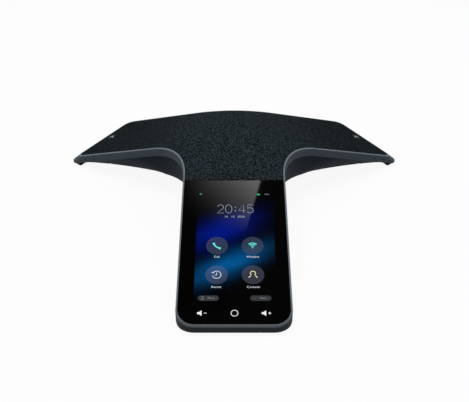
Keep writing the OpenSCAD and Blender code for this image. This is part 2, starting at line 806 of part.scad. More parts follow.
foot_top = 1.7;
foot_inset = 2.8;
foot_depth = 9.8;
module foot_print(arm, gap) {
  len = arm == "front" ? front_len : rear_len + end_reach;
  r = (arm == "front" ? front_tip_r : end_r) - foot_inset + gap;
  x = half_w - foot_inset + gap;
  end = len - foot_inset + gap;
  at_hub() rotate([0, 0, arm == "front" ? -90 : 30]) translate([0, 0, -gap])
    linear_extrude(foot_top + gap) intersection() {
      union() {
        for (side = [-1, 1]) translate([end - r, side * (x - r)]) circle(r = r);
        translate([end - r - 10, -x]) square([r + 10 - r, 2 * x]);
        translate([end - r, -x + r]) square([r, 2 * x - 2 * r]);
      }
      translate([end - foot_depth - 2 * gap, -x]) square([foot_depth + 3 * gap + 1, 2 * x]);
    }
}
module front_foot() { color([0.05, 0.05, 0.06]) foot_print("front", 0); }
module right_foot() { color([0.05, 0.05, 0.06]) foot_print("right", 0); }
module left_foot() { color([0.05, 0.05, 0.06]) on_left() foot_print("right", 0); }

// A pan-head screw that points up, with its seat at z = 0
module screw(r, length, head_r, head_h) {
  rod(r, [-head_h * 0.4, length]);
  difference() {
    rod(head_r, [-head_h, 0]);
    for (a = [0, 90]) rotate([0, 0, a])
      translate([0, 0, -head_h]) cube([head_r * 1.1, head_r * 0.28, head_h], center = true);
  }
}
module housing_screws() {
  color([0.3, 0.3, 0.32]) at_screws(concat(rim_screws, frame_screws))
    translate([0, 0, -screw_grip]) screw(screw_r, screw_grip + 3, 2.8, 2.2);
}
module display_screws() {
  color([0.6, 0.6, 0.62]) on_glass() for (side = [-1, 1], y = display_screw_ys)
    translate([side * 36.8, -along(y), frame_low]) screw(0.7, 2.8, 1.5, 0.9);
}
module board_screws() {
  color([0.6, 0.6, 0.62]) {
    on_glass() for (p = board_posts) translate([p.x, p.y, board_low]) screw(0.9, 4, 1.9, 1.1);
    at_hub() for (p = port_posts)
      translate([p.x, p.y, port_base]) mirror([0, 0, 1]) screw(0.9, 3.6, 1.9, 1.1);
  }
}
module speaker_screws() {
  color([0.6, 0.6, 0.62]) at_driver_screws()
    translate([0, 0, driver_z]) mirror([0, 0, 1]) screw(0.85, 7, 1.5, 1.1);
}

upper_housing();
lower_housing();
speaker_grille();
grille_fabric();
cover_glass();
glass_gasket();
touch_sensor();
display_panel();
display_frame();
display_flex();
main_board();
processor_shield();
wireless_module();
port_board();
ethernet_jack();
usb_jack();
service_jack();
audio_jack();
power_transformer();
board_capacitors();
port_flex();
speaker_chamber();
speaker_basket();
speaker_yoke();
speaker_magnet();
speaker_top_plate();
speaker_spider();
speaker_surround();
speaker_gasket();
voice_coil();
speaker_cone();
dust_cap();
left_mute_light();
right_mute_light();
left_mute_board();
right_mute_board();
left_mic_seal();
right_mic_seal();
left_mic_board();
right_mic_board();
left_arm_flex();
right_arm_flex();
left_antenna();
right_antenna();
front_foot();
left_foot();
right_foot();
housing_screws();
display_screws();
board_screws();
speaker_screws();
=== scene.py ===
import math

import bpy
import bmesh
from mathutils import Matrix, Vector


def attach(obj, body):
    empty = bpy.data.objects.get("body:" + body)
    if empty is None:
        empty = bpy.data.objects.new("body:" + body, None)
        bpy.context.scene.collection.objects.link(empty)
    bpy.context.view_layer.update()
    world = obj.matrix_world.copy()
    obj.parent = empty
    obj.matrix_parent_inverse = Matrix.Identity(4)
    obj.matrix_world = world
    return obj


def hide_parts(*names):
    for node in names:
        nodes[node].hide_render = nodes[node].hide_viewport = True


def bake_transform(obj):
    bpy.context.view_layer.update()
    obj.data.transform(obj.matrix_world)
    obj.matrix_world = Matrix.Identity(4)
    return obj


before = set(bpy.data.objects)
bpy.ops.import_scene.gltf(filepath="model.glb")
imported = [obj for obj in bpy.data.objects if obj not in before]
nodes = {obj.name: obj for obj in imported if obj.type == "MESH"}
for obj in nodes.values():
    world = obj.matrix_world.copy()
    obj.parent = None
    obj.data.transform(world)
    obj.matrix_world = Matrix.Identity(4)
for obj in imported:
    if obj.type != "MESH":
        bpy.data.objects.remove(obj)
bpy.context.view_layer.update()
mm = 0.001
print("frame loaded,", len(nodes), "nodes")

# camera and colour view

camera = {"place": (0, -0.55363, 0.37513), "tilt": 56.773, "lens": 56.93, "shiftX": 0.00085}
cameraData = bpy.data.cameras.new("photoCamera")
cameraData.lens = camera["lens"]
cameraData.shift_x = camera["shiftX"]
cameraObject = bpy.data.objects.new("photoCamera", cameraData)
cameraObject.location = camera["place"]
cameraObject.rotation_euler = (math.radians(camera["tilt"]), 0, 0)
bpy.context.scene.collection.objects.link(cameraObject)
bpy.context.scene.camera = cameraObject
bpy.context.scene.view_settings.view_transform = "Standard"


# node helpers, used by shader trees and geometry trees alike

def paint(red, green, blue):
    # a screen colour, 0 to 255, as a linear one
    def linear(value):
        value /= 255
        return value / 12.92 if value <= 0.04045 else ((value + 0.055) / 1.055) ** 2.4
    return (linear(red), linear(green), linear(blue), 1)


def feed(tree, socket, value):
    if isinstance(value, bpy.types.NodeSocket):
        tree.links.new(value, socket)
    elif value is not None:
        socket.default_value = value


def add(tree, kind, values=(), **settings):
    newNode = tree.nodes.new(kind)
    for key, value in settings.items():
        setattr(newNode, key, value)
    for key, value in dict(values).items():
        feed(tree, newNode.inputs[key], value)
    return newNode


def calc(tree, operation, first, second=None, third=None):
    newNode = tree.nodes.new("ShaderNodeMath")
    newNode.operation = operation
    for socket, value in zip(newNode.inputs, (first, second, third)):
        feed(tree, socket, value)
    return newNode.outputs[0]


def ramp(tree, factor, stops):
    newNode = add(tree, "ShaderNodeValToRGB", {0: factor})
    edges = newNode.color_ramp.elements
    while len(edges) < len(stops):
        edges.new(0.5)
    for edge, (place, colour) in zip(edges, stops):
        edge.position = place
        edge.color = colour
    return newNode.outputs[0]


def blendColour(tree, factor, first, second, how="MIX"):
    newNode = tree.nodes.new("ShaderNodeMix")
    newNode.data_type = "RGBA"
    newNode.blend_type = how
    feed(tree, newNode.inputs[0], factor)
    feed(tree, newNode.inputs[6], first)
    feed(tree, newNode.inputs[7], second)
    return newNode.outputs[2]


def fitRange(tree, value, low, high, toLow=0.0, toHigh=1.0, soft=False):
    newNode = add(tree, "ShaderNodeMapRange", {0: value, 1: low, 2: high, 3: toLow, 4: toHigh})
    if soft:
        newNode.interpolation_type = "SMOOTHSTEP"
    return newNode.outputs[0]


def axes(tree, vector):
    return add(tree, "ShaderNodeSeparateXYZ", {0: vector}).outputs


def scaled(tree, colour, factor):
    return add(tree, "ShaderNodeVectorMath", {0: colour, 3: factor}, operation="SCALE").outputs[0]


def newGroup(kind, name, inputs, outputs):
    group = bpy.data.node_groups.new(name, kind)
    for label, socketKind, value in inputs:
        socket = group.interface.new_socket(label, in_out="INPUT", socket_type="NodeSocket" + socketKind)
        if value is not None:
            socket.default_value = value
    for label, socketKind in outputs:
        group.interface.new_socket(label, in_out="OUTPUT", socket_type="NodeSocket" + socketKind)
    entry = group.nodes.new("NodeGroupInput")
    leave = group.nodes.new("NodeGroupOutput")
    return group, entry.outputs, leave.inputs


def useGroup(tree, group, values):
    newNode = tree.nodes.new("ShaderNodeGroup")
    newNode.node_tree = group
    for key, value in values.items():
        feed(tree, newNode.inputs[key], value)
    return newNode.outputs


# the body's form, with the same driving sizes as its solids, in millimetres

form = {
    "frontLength": 200, "rearLength": 155.3, "endReach": 10, "armWidth": 86, "elbowRadius": 58,
    "frontCorner": 13.8, "rearCorner": 8.7, "cornerGrowth": 0.16,
    "peak": 69, "frontTip": 8, "rearTip": 11.25, "blend": 22,
    "bandHeight": 8.2, "seamFloor": 2.3, "archHeight": 17.5, "archFall": 55, "baseLevel": 1.2,
    "flankFrom": 20, "flankOver": 16,
}
steps = {"elbow": 18, "side": 16, "tip": 8, "fill": 12}
halfWidth = form["armWidth"] / 2
frontSlope = (form["peak"] - form["frontTip"]) / form["frontLength"]
rearSlope = (form["peak"] - form["rearTip"]) / form["rearLength"]
frontTilt = math.atan(frontSlope)
rearTilt = math.atan(rearSlope)
cos30, sin30 = math.cos(math.radians(30)), 0.5
endCorner = form["rearCorner"] + form["cornerGrowth"] * form["endReach"]
rearEnd = form["rearLength"] + form["endReach"]
rearReach = (rearEnd - endCorner) * sin30 + (halfWidth - endCorner) * cos30 + endCorner
hubY = (form["frontLength"] - rearReach) / 2
elbowStart = (halfWidth + form["elbowRadius"]) / math.tan(math.radians(60))
armTurns = (-90, 30, 150)
rows = steps["elbow"] + steps["side"] + steps["tip"] + 1
ringCount = 6 * rows


def melt(first, second):
    # two slopes run into each other softly
    return max(first, second) + max(form["blend"] - abs(first - second), 0) ** 2 / (4 * form["blend"])


def fall(x, y):
    right = (cos30 * x + sin30 * y) * rearSlope
    left = (-cos30 * x + sin30 * y) * rearSlope
    return melt(melt(right, left), -y * frontSlope)


def crown(x, y):
    return form["peak"] - fall(x, y)


def belly(x, y):
    return max(form["baseLevel"], form["archHeight"] * (1 - (fall(x, y) / form["archFall"]) ** 2))


def onArm(turn, t, n):
    turn = math.radians(turn)
    return t * math.cos(turn) - n * math.sin(turn), t * math.sin(turn) + n * math.cos(turn)


def cornerRadius(tip, inset):
    return max(tip - inset, min(tip, 4))


def edgeRow(j, armLength, tip, inset):
    radius, end, side = cornerRadius(tip, inset), armLength - inset, halfWidth - inset
    if j <= steps["elbow"]:
        turn = math.radians(30 * (1 - j / steps["elbow"]))
        reach = form["elbowRadius"] + inset
        return elbowStart - reach * math.sin(turn), halfWidth + form["elbowRadius"] - reach * math.cos(turn)
    if j <= steps["elbow"] + steps["side"]:
        return elbowStart + (end - radius - elbowStart) * (j - steps["elbow"]) / steps["side"], side
    if j < rows:
        turn = math.radians(90 * (j - steps["elbow"] - steps["side"]) / steps["tip"])
        return end - radius + radius * math.sin(turn), side - radius + radius * math.cos(turn)
    return end, 0


def spineRow(j, armLength, tip, inset):
    radius, end = cornerRadius(tip, inset), armLength - inset
    if j <= steps["elbow"]:
        return elbowStart * j / steps["elbow"]
    if j <= steps["elbow"] + steps["side"]:
        return elbowStart + (end - radius - elbowStart) * (j - steps["elbow"]) / steps["side"]
    return end - radius + 0.8 * radius * (j - steps["elbow"] - steps["side"]) / (steps["tip"] + 1)


def section(inset, drop, under=0, lift=0, reach=(0, 0), rise=0):
    # inset from the outline, drop below the crown, share of the way down to the belly (a number or a rule),
    # lift off the belly, extra length of the front and rear arms, and height added at the end
    return {"inset": inset, "drop": drop, "under": under, "lift": lift, "reach": reach, "rise": rise}


def stretched(part, arm, lengths, tips):
    more = part["reach"][min(arm, 1)]
    return lengths[arm] + more, tips[arm] + form["cornerGrowth"] * max(more, 0)


def ringPoints(part, share, lengths, tips):
    points = []
    for arm, turn in enumerate(armTurns):
        length, tip = stretched(part, arm, lengths, tips)
        for m in range(2 * rows):
            j = m if m <= rows else 2 * rows - m
            edge = edgeRow(j, length, tip, part["inset"])
            spine = spineRow(j, length, tip, part["inset"])
            t = edge[0] + share * (spine - edge[0])
            n = edge[1] * (1 - share) * (-1 if m <= rows else 1)
            points.append(onArm(turn, t, n))
    return points


def spineIndex(i):
    arm, m = divmod(i, 2 * rows)
    j = m if m <= rows else 2 * rows - m
    return 0 if j == 0 else arm * rows + j


# The plan is flat here: the crownLift tree raises it.
def flatShell(name, sections, lengths, tips, filled=True):
    plan, faces = [], []
    levels = {"drop": [], "under": [], "lift": [], "rise": []}

    def addRing(points, part):
        plan.extend((x * mm, (y + hubY) * mm, 0) for x, y in points)
        levels["drop"].extend([part["drop"] * mm] * len(points))
        under = part["under"]
        levels["under"].extend(under(x, y) if callable(under) else under for x, y in points)
        levels["lift"].extend([part["lift"] * mm] * len(points))
        levels["rise"].extend([part["rise"] * mm] * len(points))

    rings = []
    if filled:
        rings += [(sections[0], share / steps["fill"]) for share in range(steps["fill"] - 1, 0, -1)]
    rings += [(part, 0) for part in sections]
    if filled:
        rings += [(sections[-1], share / steps["fill"]) for share in range(1, steps["fill"])]
    for part, share in rings:
        addRing(ringPoints(part, share, lengths, tips), part)
    count = len(rings)
    for ring in range(count if not filled else count - 1):
        low, high = ring * ringCount, (ring + 1) % count * ringCount
        for i in range(ringCount):
            following = (i + 1) % ringCount
            faces.append((low + i, low + following, high + following, high + i))
    if filled:
        for part, ringAt, up in ((sections[0], 0, False), (sections[-1], count - 1, True)):
            spineAt = len(plan)
            spine = [(0, 0)]
            for arm, turn in enumerate(armTurns):
                length, tip = stretched(part, arm, lengths, tips)
                spine += [onArm(turn, spineRow(j, length, tip, part["inset"]), 0) for j in range(1, rows + 1)]
            addRing(spine, part)
            for i in range(ringCount):
                following = (i + 1) % ringCount
                corners = [ringAt * ringCount + i, ringAt * ringCount + following]
                ends = [spineAt + spineIndex(following), spineAt + spineIndex(i)]
                corners += ends if ends[0] != ends[1] else ends[:1]
                faces.append(corners if up else corners[::-1])
    shell = pieceFrom(name, plan, faces)
    for label, values in levels.items():
        shell.data.attributes.new(label, "FLOAT", "POINT").data.foreach_set("value", values)
    return shell


def pieceFrom(name, points, faces):
    mesh = bpy.data.meshes.new(name)
    mesh.from_pydata(points, [], faces)
    return linkPiece(name, mesh)


def pieceOf(name, work):
    mesh = bpy.data.meshes.new(name)
    work.to_mesh(mesh)
    work.free()
    return linkPiece(name, mesh)


def linkPiece(name, data):
    piece = bpy.data.objects.new(name, data)
    bpy.context.scene.collection.objects.link(piece)
    return piece


def settle(piece):
    # turns live modifiers into a plain mesh
    bpy.context.view_layer.update()
    graph = bpy.context.evaluated_depsgraph_get()
    mesh = bpy.data.meshes.new_from_object(piece.evaluated_get(graph))
    piece.modifiers.clear()
    if piece.type == "MESH":
        piece.data = mesh
        return piece
    name = piece.name
    bpy.data.objects.remove(piece)
    return linkPiece(name, mesh)


def growWith(piece, tree, values):
    modifier = piece.modifiers.new(tree.name, "NODES")
    modifier.node_group = tree
    for item in tree.interface.items_tree:
        if item.item_type == "SOCKET" and item.in_out == "INPUT" and item.name in values:
            modifier[item.identifier] = values[item.name]
    return settle(piece)


def carve(piece, cutter, how="DIFFERENCE"):
    modifier = piece.modifiers.new("carve", "BOOLEAN")
    modifier.operation = how
    modifier.solver = "EXACT"
    modifier.object = cutter
    settle(piece)
    bpy.data.objects.remove(cutter)
    return piece


def rightNormals(piece, weld=0.000001):
    work = bmesh.new()
    work.from_mesh(piece.data)
    bmesh.ops.remove_doubles(work, verts=work.verts, dist=weld)
    bmesh.ops.dissolve_degenerate(work, edges=work.edges, dist=weld / 2)
    bmesh.ops.recalc_face_normals(work, faces=work.faces)
    work.to_mesh(piece.data)
    work.free()
    return piece


def smoothBelow(piece, degrees):
    piece.data.polygons.foreach_set("use_smooth", [True] * len(piece.data.polygons))
    piece.data.set_sharp_from_angle(angle=math.radians(degrees))
    return piece


def coat(piece, *finishes):
    piece.data.materials.clear()
    for finish in finishes:
        piece.data.materials.append(finish)
    return piece


def boxPoints(x, y, z):
    return [(a, b, c) for c in z for b in y for a in x]


boxFaces = [(0, 2, 3, 1), (4, 5, 7, 6), (0, 1, 5, 4), (1, 3, 7, 5), (3, 2, 6, 7), (2, 0, 4, 6)]


def blocks(name, boxes, place=Matrix.Identity(4)):
    # plain boxes in millimetres, in one mesh, used to cut and to fill
    points, faces = [], []
    for x, y, z in boxes:
        faces += [tuple(len(points) + i for i in face) for face in boxFaces]
        points += boxPoints(x, y, z)
    return pieceFrom(name, [place @ (Vector(p) * mm) for p in points], faces)


def joined(name, pieces):
    work = bmesh.new()
    for piece in pieces:
        work.from_mesh(piece.data)
        bpy.data.objects.remove(piece)
    return pieceOf(name, work)


def drum(name, radius, depth, place, sides):
    # a round cutter about the middle of its place, in millimetres
    work = bmesh.new()
    bmesh.ops.create_cone(work, cap_ends=True, segments=sides, radius1=radius * mm, radius2=radius * mm,
                          depth=depth * mm, matrix=place)
    return pieceOf(name, work)


def slab(name, sections, place):
    # sections are (outline, level), from the lowest to the highest
    points, faces, count = [], [], len(sections[0][0])
    for outline, level in sections:
        points += [place @ Vector((x * mm, y * mm, level * mm)) for x, y in outline]
    for ring in range(len(sections) - 1):
        for i in range(count):
            following = (i + 1) % count
            low, high = ring * count, (ring + 1) * count
            faces.append((low + i, low + following, high + following, high + i))
    faces.append(tuple(range(count))[::-1])
    faces.append(tuple(range((len(sections) - 1) * count, len(sections) * count)))
    return pieceFrom(name, points, faces)


hubPlace = Matrix.Translation((0, hubY * mm, 0))
peakPlace = Matrix.Translation((0, hubY * mm, form["peak"] * mm))
glassPlace = peakPlace @ Matrix.Rotation(frontTilt, 4, "X")


def armPlace(t, n=0, left=False):
    place = peakPlace @ Matrix.Rotation(math.radians(30), 4, "Z") @ Matrix.Rotation(rearTilt, 4, "Y")
    place = place @ Matrix.Translation((t / math.cos(rearTilt) * mm, n * mm, 0))
    return Matrix.Diagonal((-1, 1, 1, 1)) @ place if left else place


# geometry trees

def pointValue(tree, label):
    return add(tree, "GeometryNodeInputNamedAttribute", {"Name": label}, data_type="FLOAT").outputs[0]


def endTree(tree, geometry, given, out):
    whole = add(tree, "GeometryNodeRealizeInstances", {0: geometry})
    coated = add(tree, "GeometryNodeSetMaterial", {"Geometry": whole.outputs[0], "Material": given["Finish"]})
    tree.links.new(coated.outputs[0], out[0])
    return tree


def makeCrownTree():
    tree, given, out = newGroup("GeometryNodeTree", "crownLift", [
        ("Geometry", "Geometry", None), ("Peak", "Float", 0.069), ("Front Slope", "Float", 0.3),
        ("Rear Slope", "Float", 0.37), ("Blend", "Float", 0.022), ("Hub Distance", "Float", 0.042),
        ("Band Floor", "Float", 0.0023), ("Arch Height", "Float", 0.0175), ("Arch Fall", "Float", 0.055),
        ("Base Level", "Float", 0.0012), ("Finish", "Material", None)],
        [("Geometry", "Geometry")])

    def meltNodes(first, second):
        gap = calc(tree, "ABSOLUTE", calc(tree, "SUBTRACT", first, second))
        spare = calc(tree, "MAXIMUM", calc(tree, "SUBTRACT", given["Blend"], gap), 0.0)
        soft = calc(tree, "DIVIDE", calc(tree, "MULTIPLY", spare, spare),
                    calc(tree, "MULTIPLY", given["Blend"], 4.0))
        return calc(tree, "ADD", calc(tree, "MAXIMUM", first, second), soft)

    spot = axes(tree, tree.nodes.new("GeometryNodeInputPosition").outputs[0])
    x = calc(tree, "MULTIPLY", spot[0], cos30)
    y = calc(tree, "SUBTRACT", spot[1], given["Hub Distance"])
    halfY = calc(tree, "MULTIPLY", y, sin30)
    right = calc(tree, "MULTIPLY", calc(tree, "ADD", halfY, x), given["Rear Slope"])
    left = calc(tree, "MULTIPLY", calc(tree, "SUBTRACT", halfY, x), given["Rear Slope"])
    front = calc(tree, "MULTIPLY", calc(tree, "MULTIPLY", y, -1.0), given["Front Slope"])
    drop = meltNodes(meltNodes(right, left), front)
    top = calc(tree, "SUBTRACT", calc(tree, "SUBTRACT", given["Peak"], drop), pointValue(tree, "drop"))
    top = calc(tree, "MAXIMUM", top, given["Band Floor"])
    share = calc(tree, "POWER", calc(tree, "DIVIDE", drop, given["Arch Fall"]), 2.0)
    arch = calc(tree, "MULTIPLY", calc(tree, "SUBTRACT", 1.0, share), given["Arch Height"])
    under = calc(tree, "ADD", calc(tree, "MAXIMUM", arch, given["Base Level"]), pointValue(tree, "lift"))
    level = calc(tree, "MULTIPLY_ADD", calc(tree, "SUBTRACT", under, top), pointValue(tree, "under"), top)
    level = calc(tree, "ADD", level, pointValue(tree, "rise"))
    raised = add(tree, "ShaderNodeCombineXYZ", {0: spot[0], 1: spot[1], 2: level})
    moved = add(tree, "GeometryNodeSetPosition",
                {"Geometry": given["Geometry"], "Position": raised.outputs[0]})
    return endTree(tree, moved.outputs[0], given, out)


def makeRodTree():
    # a rod on every point, as tall and as thick as the point says
    tree, given, out = newGroup("GeometryNodeTree", "rodsOnPoints", [
        ("Geometry", "Geometry", None), ("Sides", "Int", 32), ("Finish", "Material", None)],
        [("Geometry", "Geometry")])
    radius, height = pointValue(tree, "radius"), pointValue(tree, "height")
    rod = add(tree, "GeometryNodeMeshCylinder", {"Vertices": given["Sides"], "Radius": 1.0, "Depth": 1.0})
    stood = add(tree, "GeometryNodeTransform", {"Geometry": rod.outputs[0], "Translation": (0, 0, 0.5)})
    size = add(tree, "ShaderNodeCombineXYZ", {0: radius, 1: radius, 2: height})
    placed = add(tree, "GeometryNodeInstanceOnPoints", {
        "Points": given["Geometry"], "Instance": stood.outputs[0], "Scale": size.outputs[0]})
    return endTree(tree, placed.outputs[0], given, out)


def makeStrokeTree():
    # a round bead along every curve
    tree, given, out = newGroup("GeometryNodeTree", "strokeAlongCurve", [
        ("Geometry", "Geometry", None), ("Stroke", "Float", 0.0006), ("Sides", "Int", 8),
        ("Finish", "Material", None)], [("Geometry", "Geometry")])
    radius = calc(tree, "MULTIPLY", given["Stroke"], 0.5)
    bead = add(tree, "GeometryNodeCurvePrimitiveCircle", {"Resolution": given["Sides"], "Radius": radius})
    swept = add(tree, "GeometryNodeCurveToMesh", {
        "Curve": given["Geometry"], "Profile Curve": bead.outputs[0], "Fill Caps": True})
    return endTree(tree, swept.outputs[0], given, out)


def makePinTree():
    # a row of flat contacts
    tree, given, out = newGroup("GeometryNodeTree", "pinRow", [
        ("Geometry", "Geometry", None), ("Count", "Int", 8), ("Start", "Vector", (0, 0, 0)),
        ("Step", "Vector", (0.001, 0, 0)), ("Size", "Vector", (0.0004, 0.008, 0.0002)),
        ("Turn", "Vector", (0, 0, 0)), ("Finish", "Material", None)],
        [("Geometry", "Geometry")])
    line = add(tree, "GeometryNodeMeshLine", {
        "Count": given["Count"], "Start Location": given["Start"], "Offset": given["Step"]})
    pin = add(tree, "GeometryNodeMeshCube", {"Size": given["Size"]})
    placed = add(tree, "GeometryNodeInstanceOnPoints", {
        "Points": line.outputs[0], "Instance": pin.outputs[0], "Rotation": given["Turn"]})
    return endTree(tree, placed.outputs[0], given, out)


crownTree, rodTree, strokeTree, pinTree = makeCrownTree(), makeRodTree(), makeStrokeTree(), makePinTree()


def crownValues(finish):
    return {
        "Peak": form["peak"] * mm, "Front Slope": frontSlope, "Rear Slope": rearSlope,
        "Blend": form["blend"] * mm, "Hub Distance": hubY * mm, "Band Floor": form["seamFloor"] * mm,
        "Arch Height": form["archHeight"] * mm, "Arch Fall": form["archFall"] * mm,
        "Base Level": form["baseLevel"] * mm, "Finish": finish}


def rods(name, spots, finish, sides=32):
    # spots are (x, y, z, radius, height) in millimetres from the hub
    row = pieceFrom(name, [(x * mm, (y + hubY) * mm, z * mm) for x, y, z, radius, height in spots], [])
    for label, at in (("radius", 3), ("height", 4)):
        values = row.data.attributes.new(label, "FLOAT", "POINT").data
        values.foreach_set("value", [spot[at] * mm for spot in spots])
    return growWith(row, rodTree, {"Sides": sides, "Finish": finish})


print("trees built")

# shared surface effects

def makeGrainGroup():
    # moulded plastic: a fine leathery grain with slow cloudy changes of tone
    group, given, out = newGroup("ShaderNodeTree", "mouldGrain", [
        ("Vector", "Vector", None), ("Scale", "Float", 2200.0), ("Cloud", "Float", 14.0)],
        [("Height", "Float"), ("Tone", "Float"), ("Gloss", "Float")])
    fine = add(group, "ShaderNodeTexNoise",
               {"Vector": given[0], "Scale": given[1], "Detail": 2.0, "Roughness": 0.55})
    pits = add(group, "ShaderNodeTexVoronoi",
               {"Vector": given[0], "Scale": calc(group, "MULTIPLY", given[1], 0.6)})
    slow = add(group, "ShaderNodeTexNoise", {"Vector": given[0], "Scale": given[2], "Detail": 3.0})
    height = calc(group, "MULTIPLY_ADD", pits.outputs[0], 0.35, fine.outputs[0])
    group.links.new(height, out[0])
    group.links.new(fitRange(group, slow.outputs[0], 0.3, 0.7, -1.0, 1.0), out[1])
    group.links.new(fitRange(group, fine.outputs[0], 0.3, 0.7), out[2])
    return group


def makeWeaveGroup():
    # plain weave: threads pass over and under each other
    group, given, out = newGroup("ShaderNodeTree", "plainWeave", [
        ("Vector", "Vector", None), ("Pitch", "Float", 0.001), ("Slack", "Float", 0.12)],
        [("Height", "Float"), ("Gap", "Float"), ("Yarn", "Float"), ("Fleck", "Float")])
    wander = add(group, "ShaderNodeTexNoise", {"Vector": given[0], "Scale": 260.0, "Detail": 1.0})
    spot = axes(group, given[0])
    slack = calc(group, "MULTIPLY", calc(group, "SUBTRACT", wander.outputs[0], 0.5), given[2])
    across = calc(group, "ADD", calc(group, "DIVIDE", spot[0], given[1]), slack)
    along = calc(group, "ADD", calc(group, "DIVIDE", spot[1], given[1]), slack)
    waveX = calc(group, "SINE", calc(group, "MULTIPLY", across, math.pi))
    waveY = calc(group, "SINE", calc(group, "MULTIPLY", along, math.pi))
    side = calc(group, "SIGN", calc(group, "MULTIPLY", waveX, waveY))
    warp = calc(group, "MULTIPLY_ADD", side, 0.3, calc(group, "ABSOLUTE", waveX))
    weft = calc(group, "MULTIPLY_ADD", side, -0.3, calc(group, "ABSOLUTE", waveY))
    height = calc(group, "MAXIMUM", warp, weft)
    group.links.new(height, out[0])
    group.links.new(fitRange(group, height, 0.25, 0.75, 1.0, 0.0), out[1])
    yarn = add(group, "ShaderNodeTexNoise", {"Vector": given[0], "Scale": 900.0, "Detail": 2.0})
    group.links.new(yarn.outputs[0], out[2])
    cell = add(group, "ShaderNodeCombineXYZ",
               {0: calc(group, "FLOOR", across), 1: calc(group, "FLOOR", along)})
    fleck = add(group, "ShaderNodeTexWhiteNoise", {"Vector": cell.outputs[0]}, noise_dimensions="2D")
    group.links.new(fleck.outputs[0], out[3])
    return group


def makeBrushGroup():
    # drawn metal: long fine scratches along one axis
    group, given, out = newGroup("ShaderNodeTree", "drawnLines", [
        ("Vector", "Vector", None), ("Stretch", "Vector", (60.0, 2500.0, 2500.0))],
        [("Height", "Float"), ("Tone", "Float")])
    stretched = add(group, "ShaderNodeVectorMath", {0: given[0], 1: given[1]}, operation="MULTIPLY")
    lines = add(group, "ShaderNodeTexNoise", {"Vector": stretched.outputs[0], "Scale": 1.0, "Detail": 3.0})
    group.links.new(lines.outputs[0], out[0])
    group.links.new(fitRange(group, lines.outputs[0], 0.3, 0.7, -1.0, 1.0), out[1])
    return group


def makeDustGroup():
    # a little dust on what faces up
    group, given, out = newGroup("ShaderNodeTree", "faintDust", [
        ("Vector", "Vector", None), ("Normal", "Vector", None), ("Amount", "Float", 0.03)],
        [("Mask", "Float")])
    specks = add(group, "ShaderNodeTexNoise",
                 {"Vector": given[0], "Scale": 420.0, "Detail": 4.0, "Roughness": 0.7})
    patch = fitRange(group, specks.outputs[0], 0.45, 0.75)
    up = fitRange(group, axes(group, given[1])[2], 0.3, 1.0)
    group.links.new(calc(group, "MULTIPLY", calc(group, "MULTIPLY", patch, up), given[2]), out[0])
    return group


grainGroup, weaveGroup = makeGrainGroup(), makeWeaveGroup()
brushGroup, dustGroup = makeBrushGroup(), makeDustGroup()


def newFinish(name, roughness=0.5, metallic=0.0, **plain):
    finish = bpy.data.materials.new(name)
    finish.use_nodes = True
    tree = finish.node_tree
    shader = tree.nodes["Principled BSDF"]
    shader.inputs["Roughness"].default_value = roughness
    shader.inputs["Metallic"].default_value = metallic
    for key, value in plain.items():
        shader.inputs[key].default_value = value
    spot = tree.nodes.new("ShaderNodeTexCoord").outputs["Object"]
    return finish, tree, shader, spot


def bump(tree, shader, height, distance, strength=1.0):
    bumped = add(tree, "ShaderNodeBump", {"Height": height, "Distance": distance, "Strength": strength})
    tree.links.new(bumped.outputs[0], shader.inputs["Normal"])


def shade(colour, factor):
    return tuple(min(c * factor, 1) for c in colour[:3]) + (1,)


def mouldedPlastic(name, colour, roughness=0.45, scale=2200.0, depth=0.00002, vary=0.12, dust=0.0, gloss=0.5,
                   paintedFrontShade=None):
    finish, tree, shader, spot = newFinish(name, roughness, **{"Specular IOR Level": gloss})
    glossVary = 0.06
    grain = useGroup(tree, grainGroup, {"Vector": spot, "Scale": scale})
    tone = fitRange(tree, grain["Tone"], -1.0, 1.0)
    body = blendColour(tree, tone, shade(colour, 1 - vary), shade(colour, 1 + vary))
    if dust:
        normal = tree.nodes.new("ShaderNodeNewGeometry").outputs["Normal"]
        mask = useGroup(tree, dustGroup, {"Vector": spot, "Normal": normal, "Amount": dust})["Mask"]
        body = blendColour(tree, mask, body, (0.4, 0.4, 0.38, 1))
    if paintedFrontShade:
        # painted shade: darker towards the front end of the phone
        share, front, back = paintedFrontShade
        body = scaled(tree, body, fitRange(tree, axes(tree, spot)[1], front, back, share, 1.0, True))
    tree.links.new(body, shader.inputs["Base Color"])
    tree.links.new(fitRange(tree, grain["Gloss"], 0.0, 1.0, roughness - glossVary, roughness + glossVary),
                   shader.inputs["Roughness"])
    bump(tree, shader, grain["Height"], depth)
    return finish


def drawnMetal(name, colour, roughness=0.3, stretch=(60.0, 2500.0, 2500.0), vary=0.15, metallic=1.0):
    finish, tree, shader, spot = newFinish(name, roughness, metallic)
    lines = useGroup(tree, brushGroup, {"Vector": spot, "Stretch": stretch})
    tone = fitRange(tree, lines["Tone"], -1.0, 1.0)
    tree.links.new(blendColour(tree, tone, shade(colour, 1 - vary), shade(colour, 1 + vary)),
                   shader.inputs["Base Color"])
    tree.links.new(fitRange(tree, tone, 0.0, 1.0, roughness - 0.08, roughness + 0.1),
                   shader.inputs["Roughness"])
    bump(tree, shader, lines["Height"], 0.00001, 0.5)
    return finish


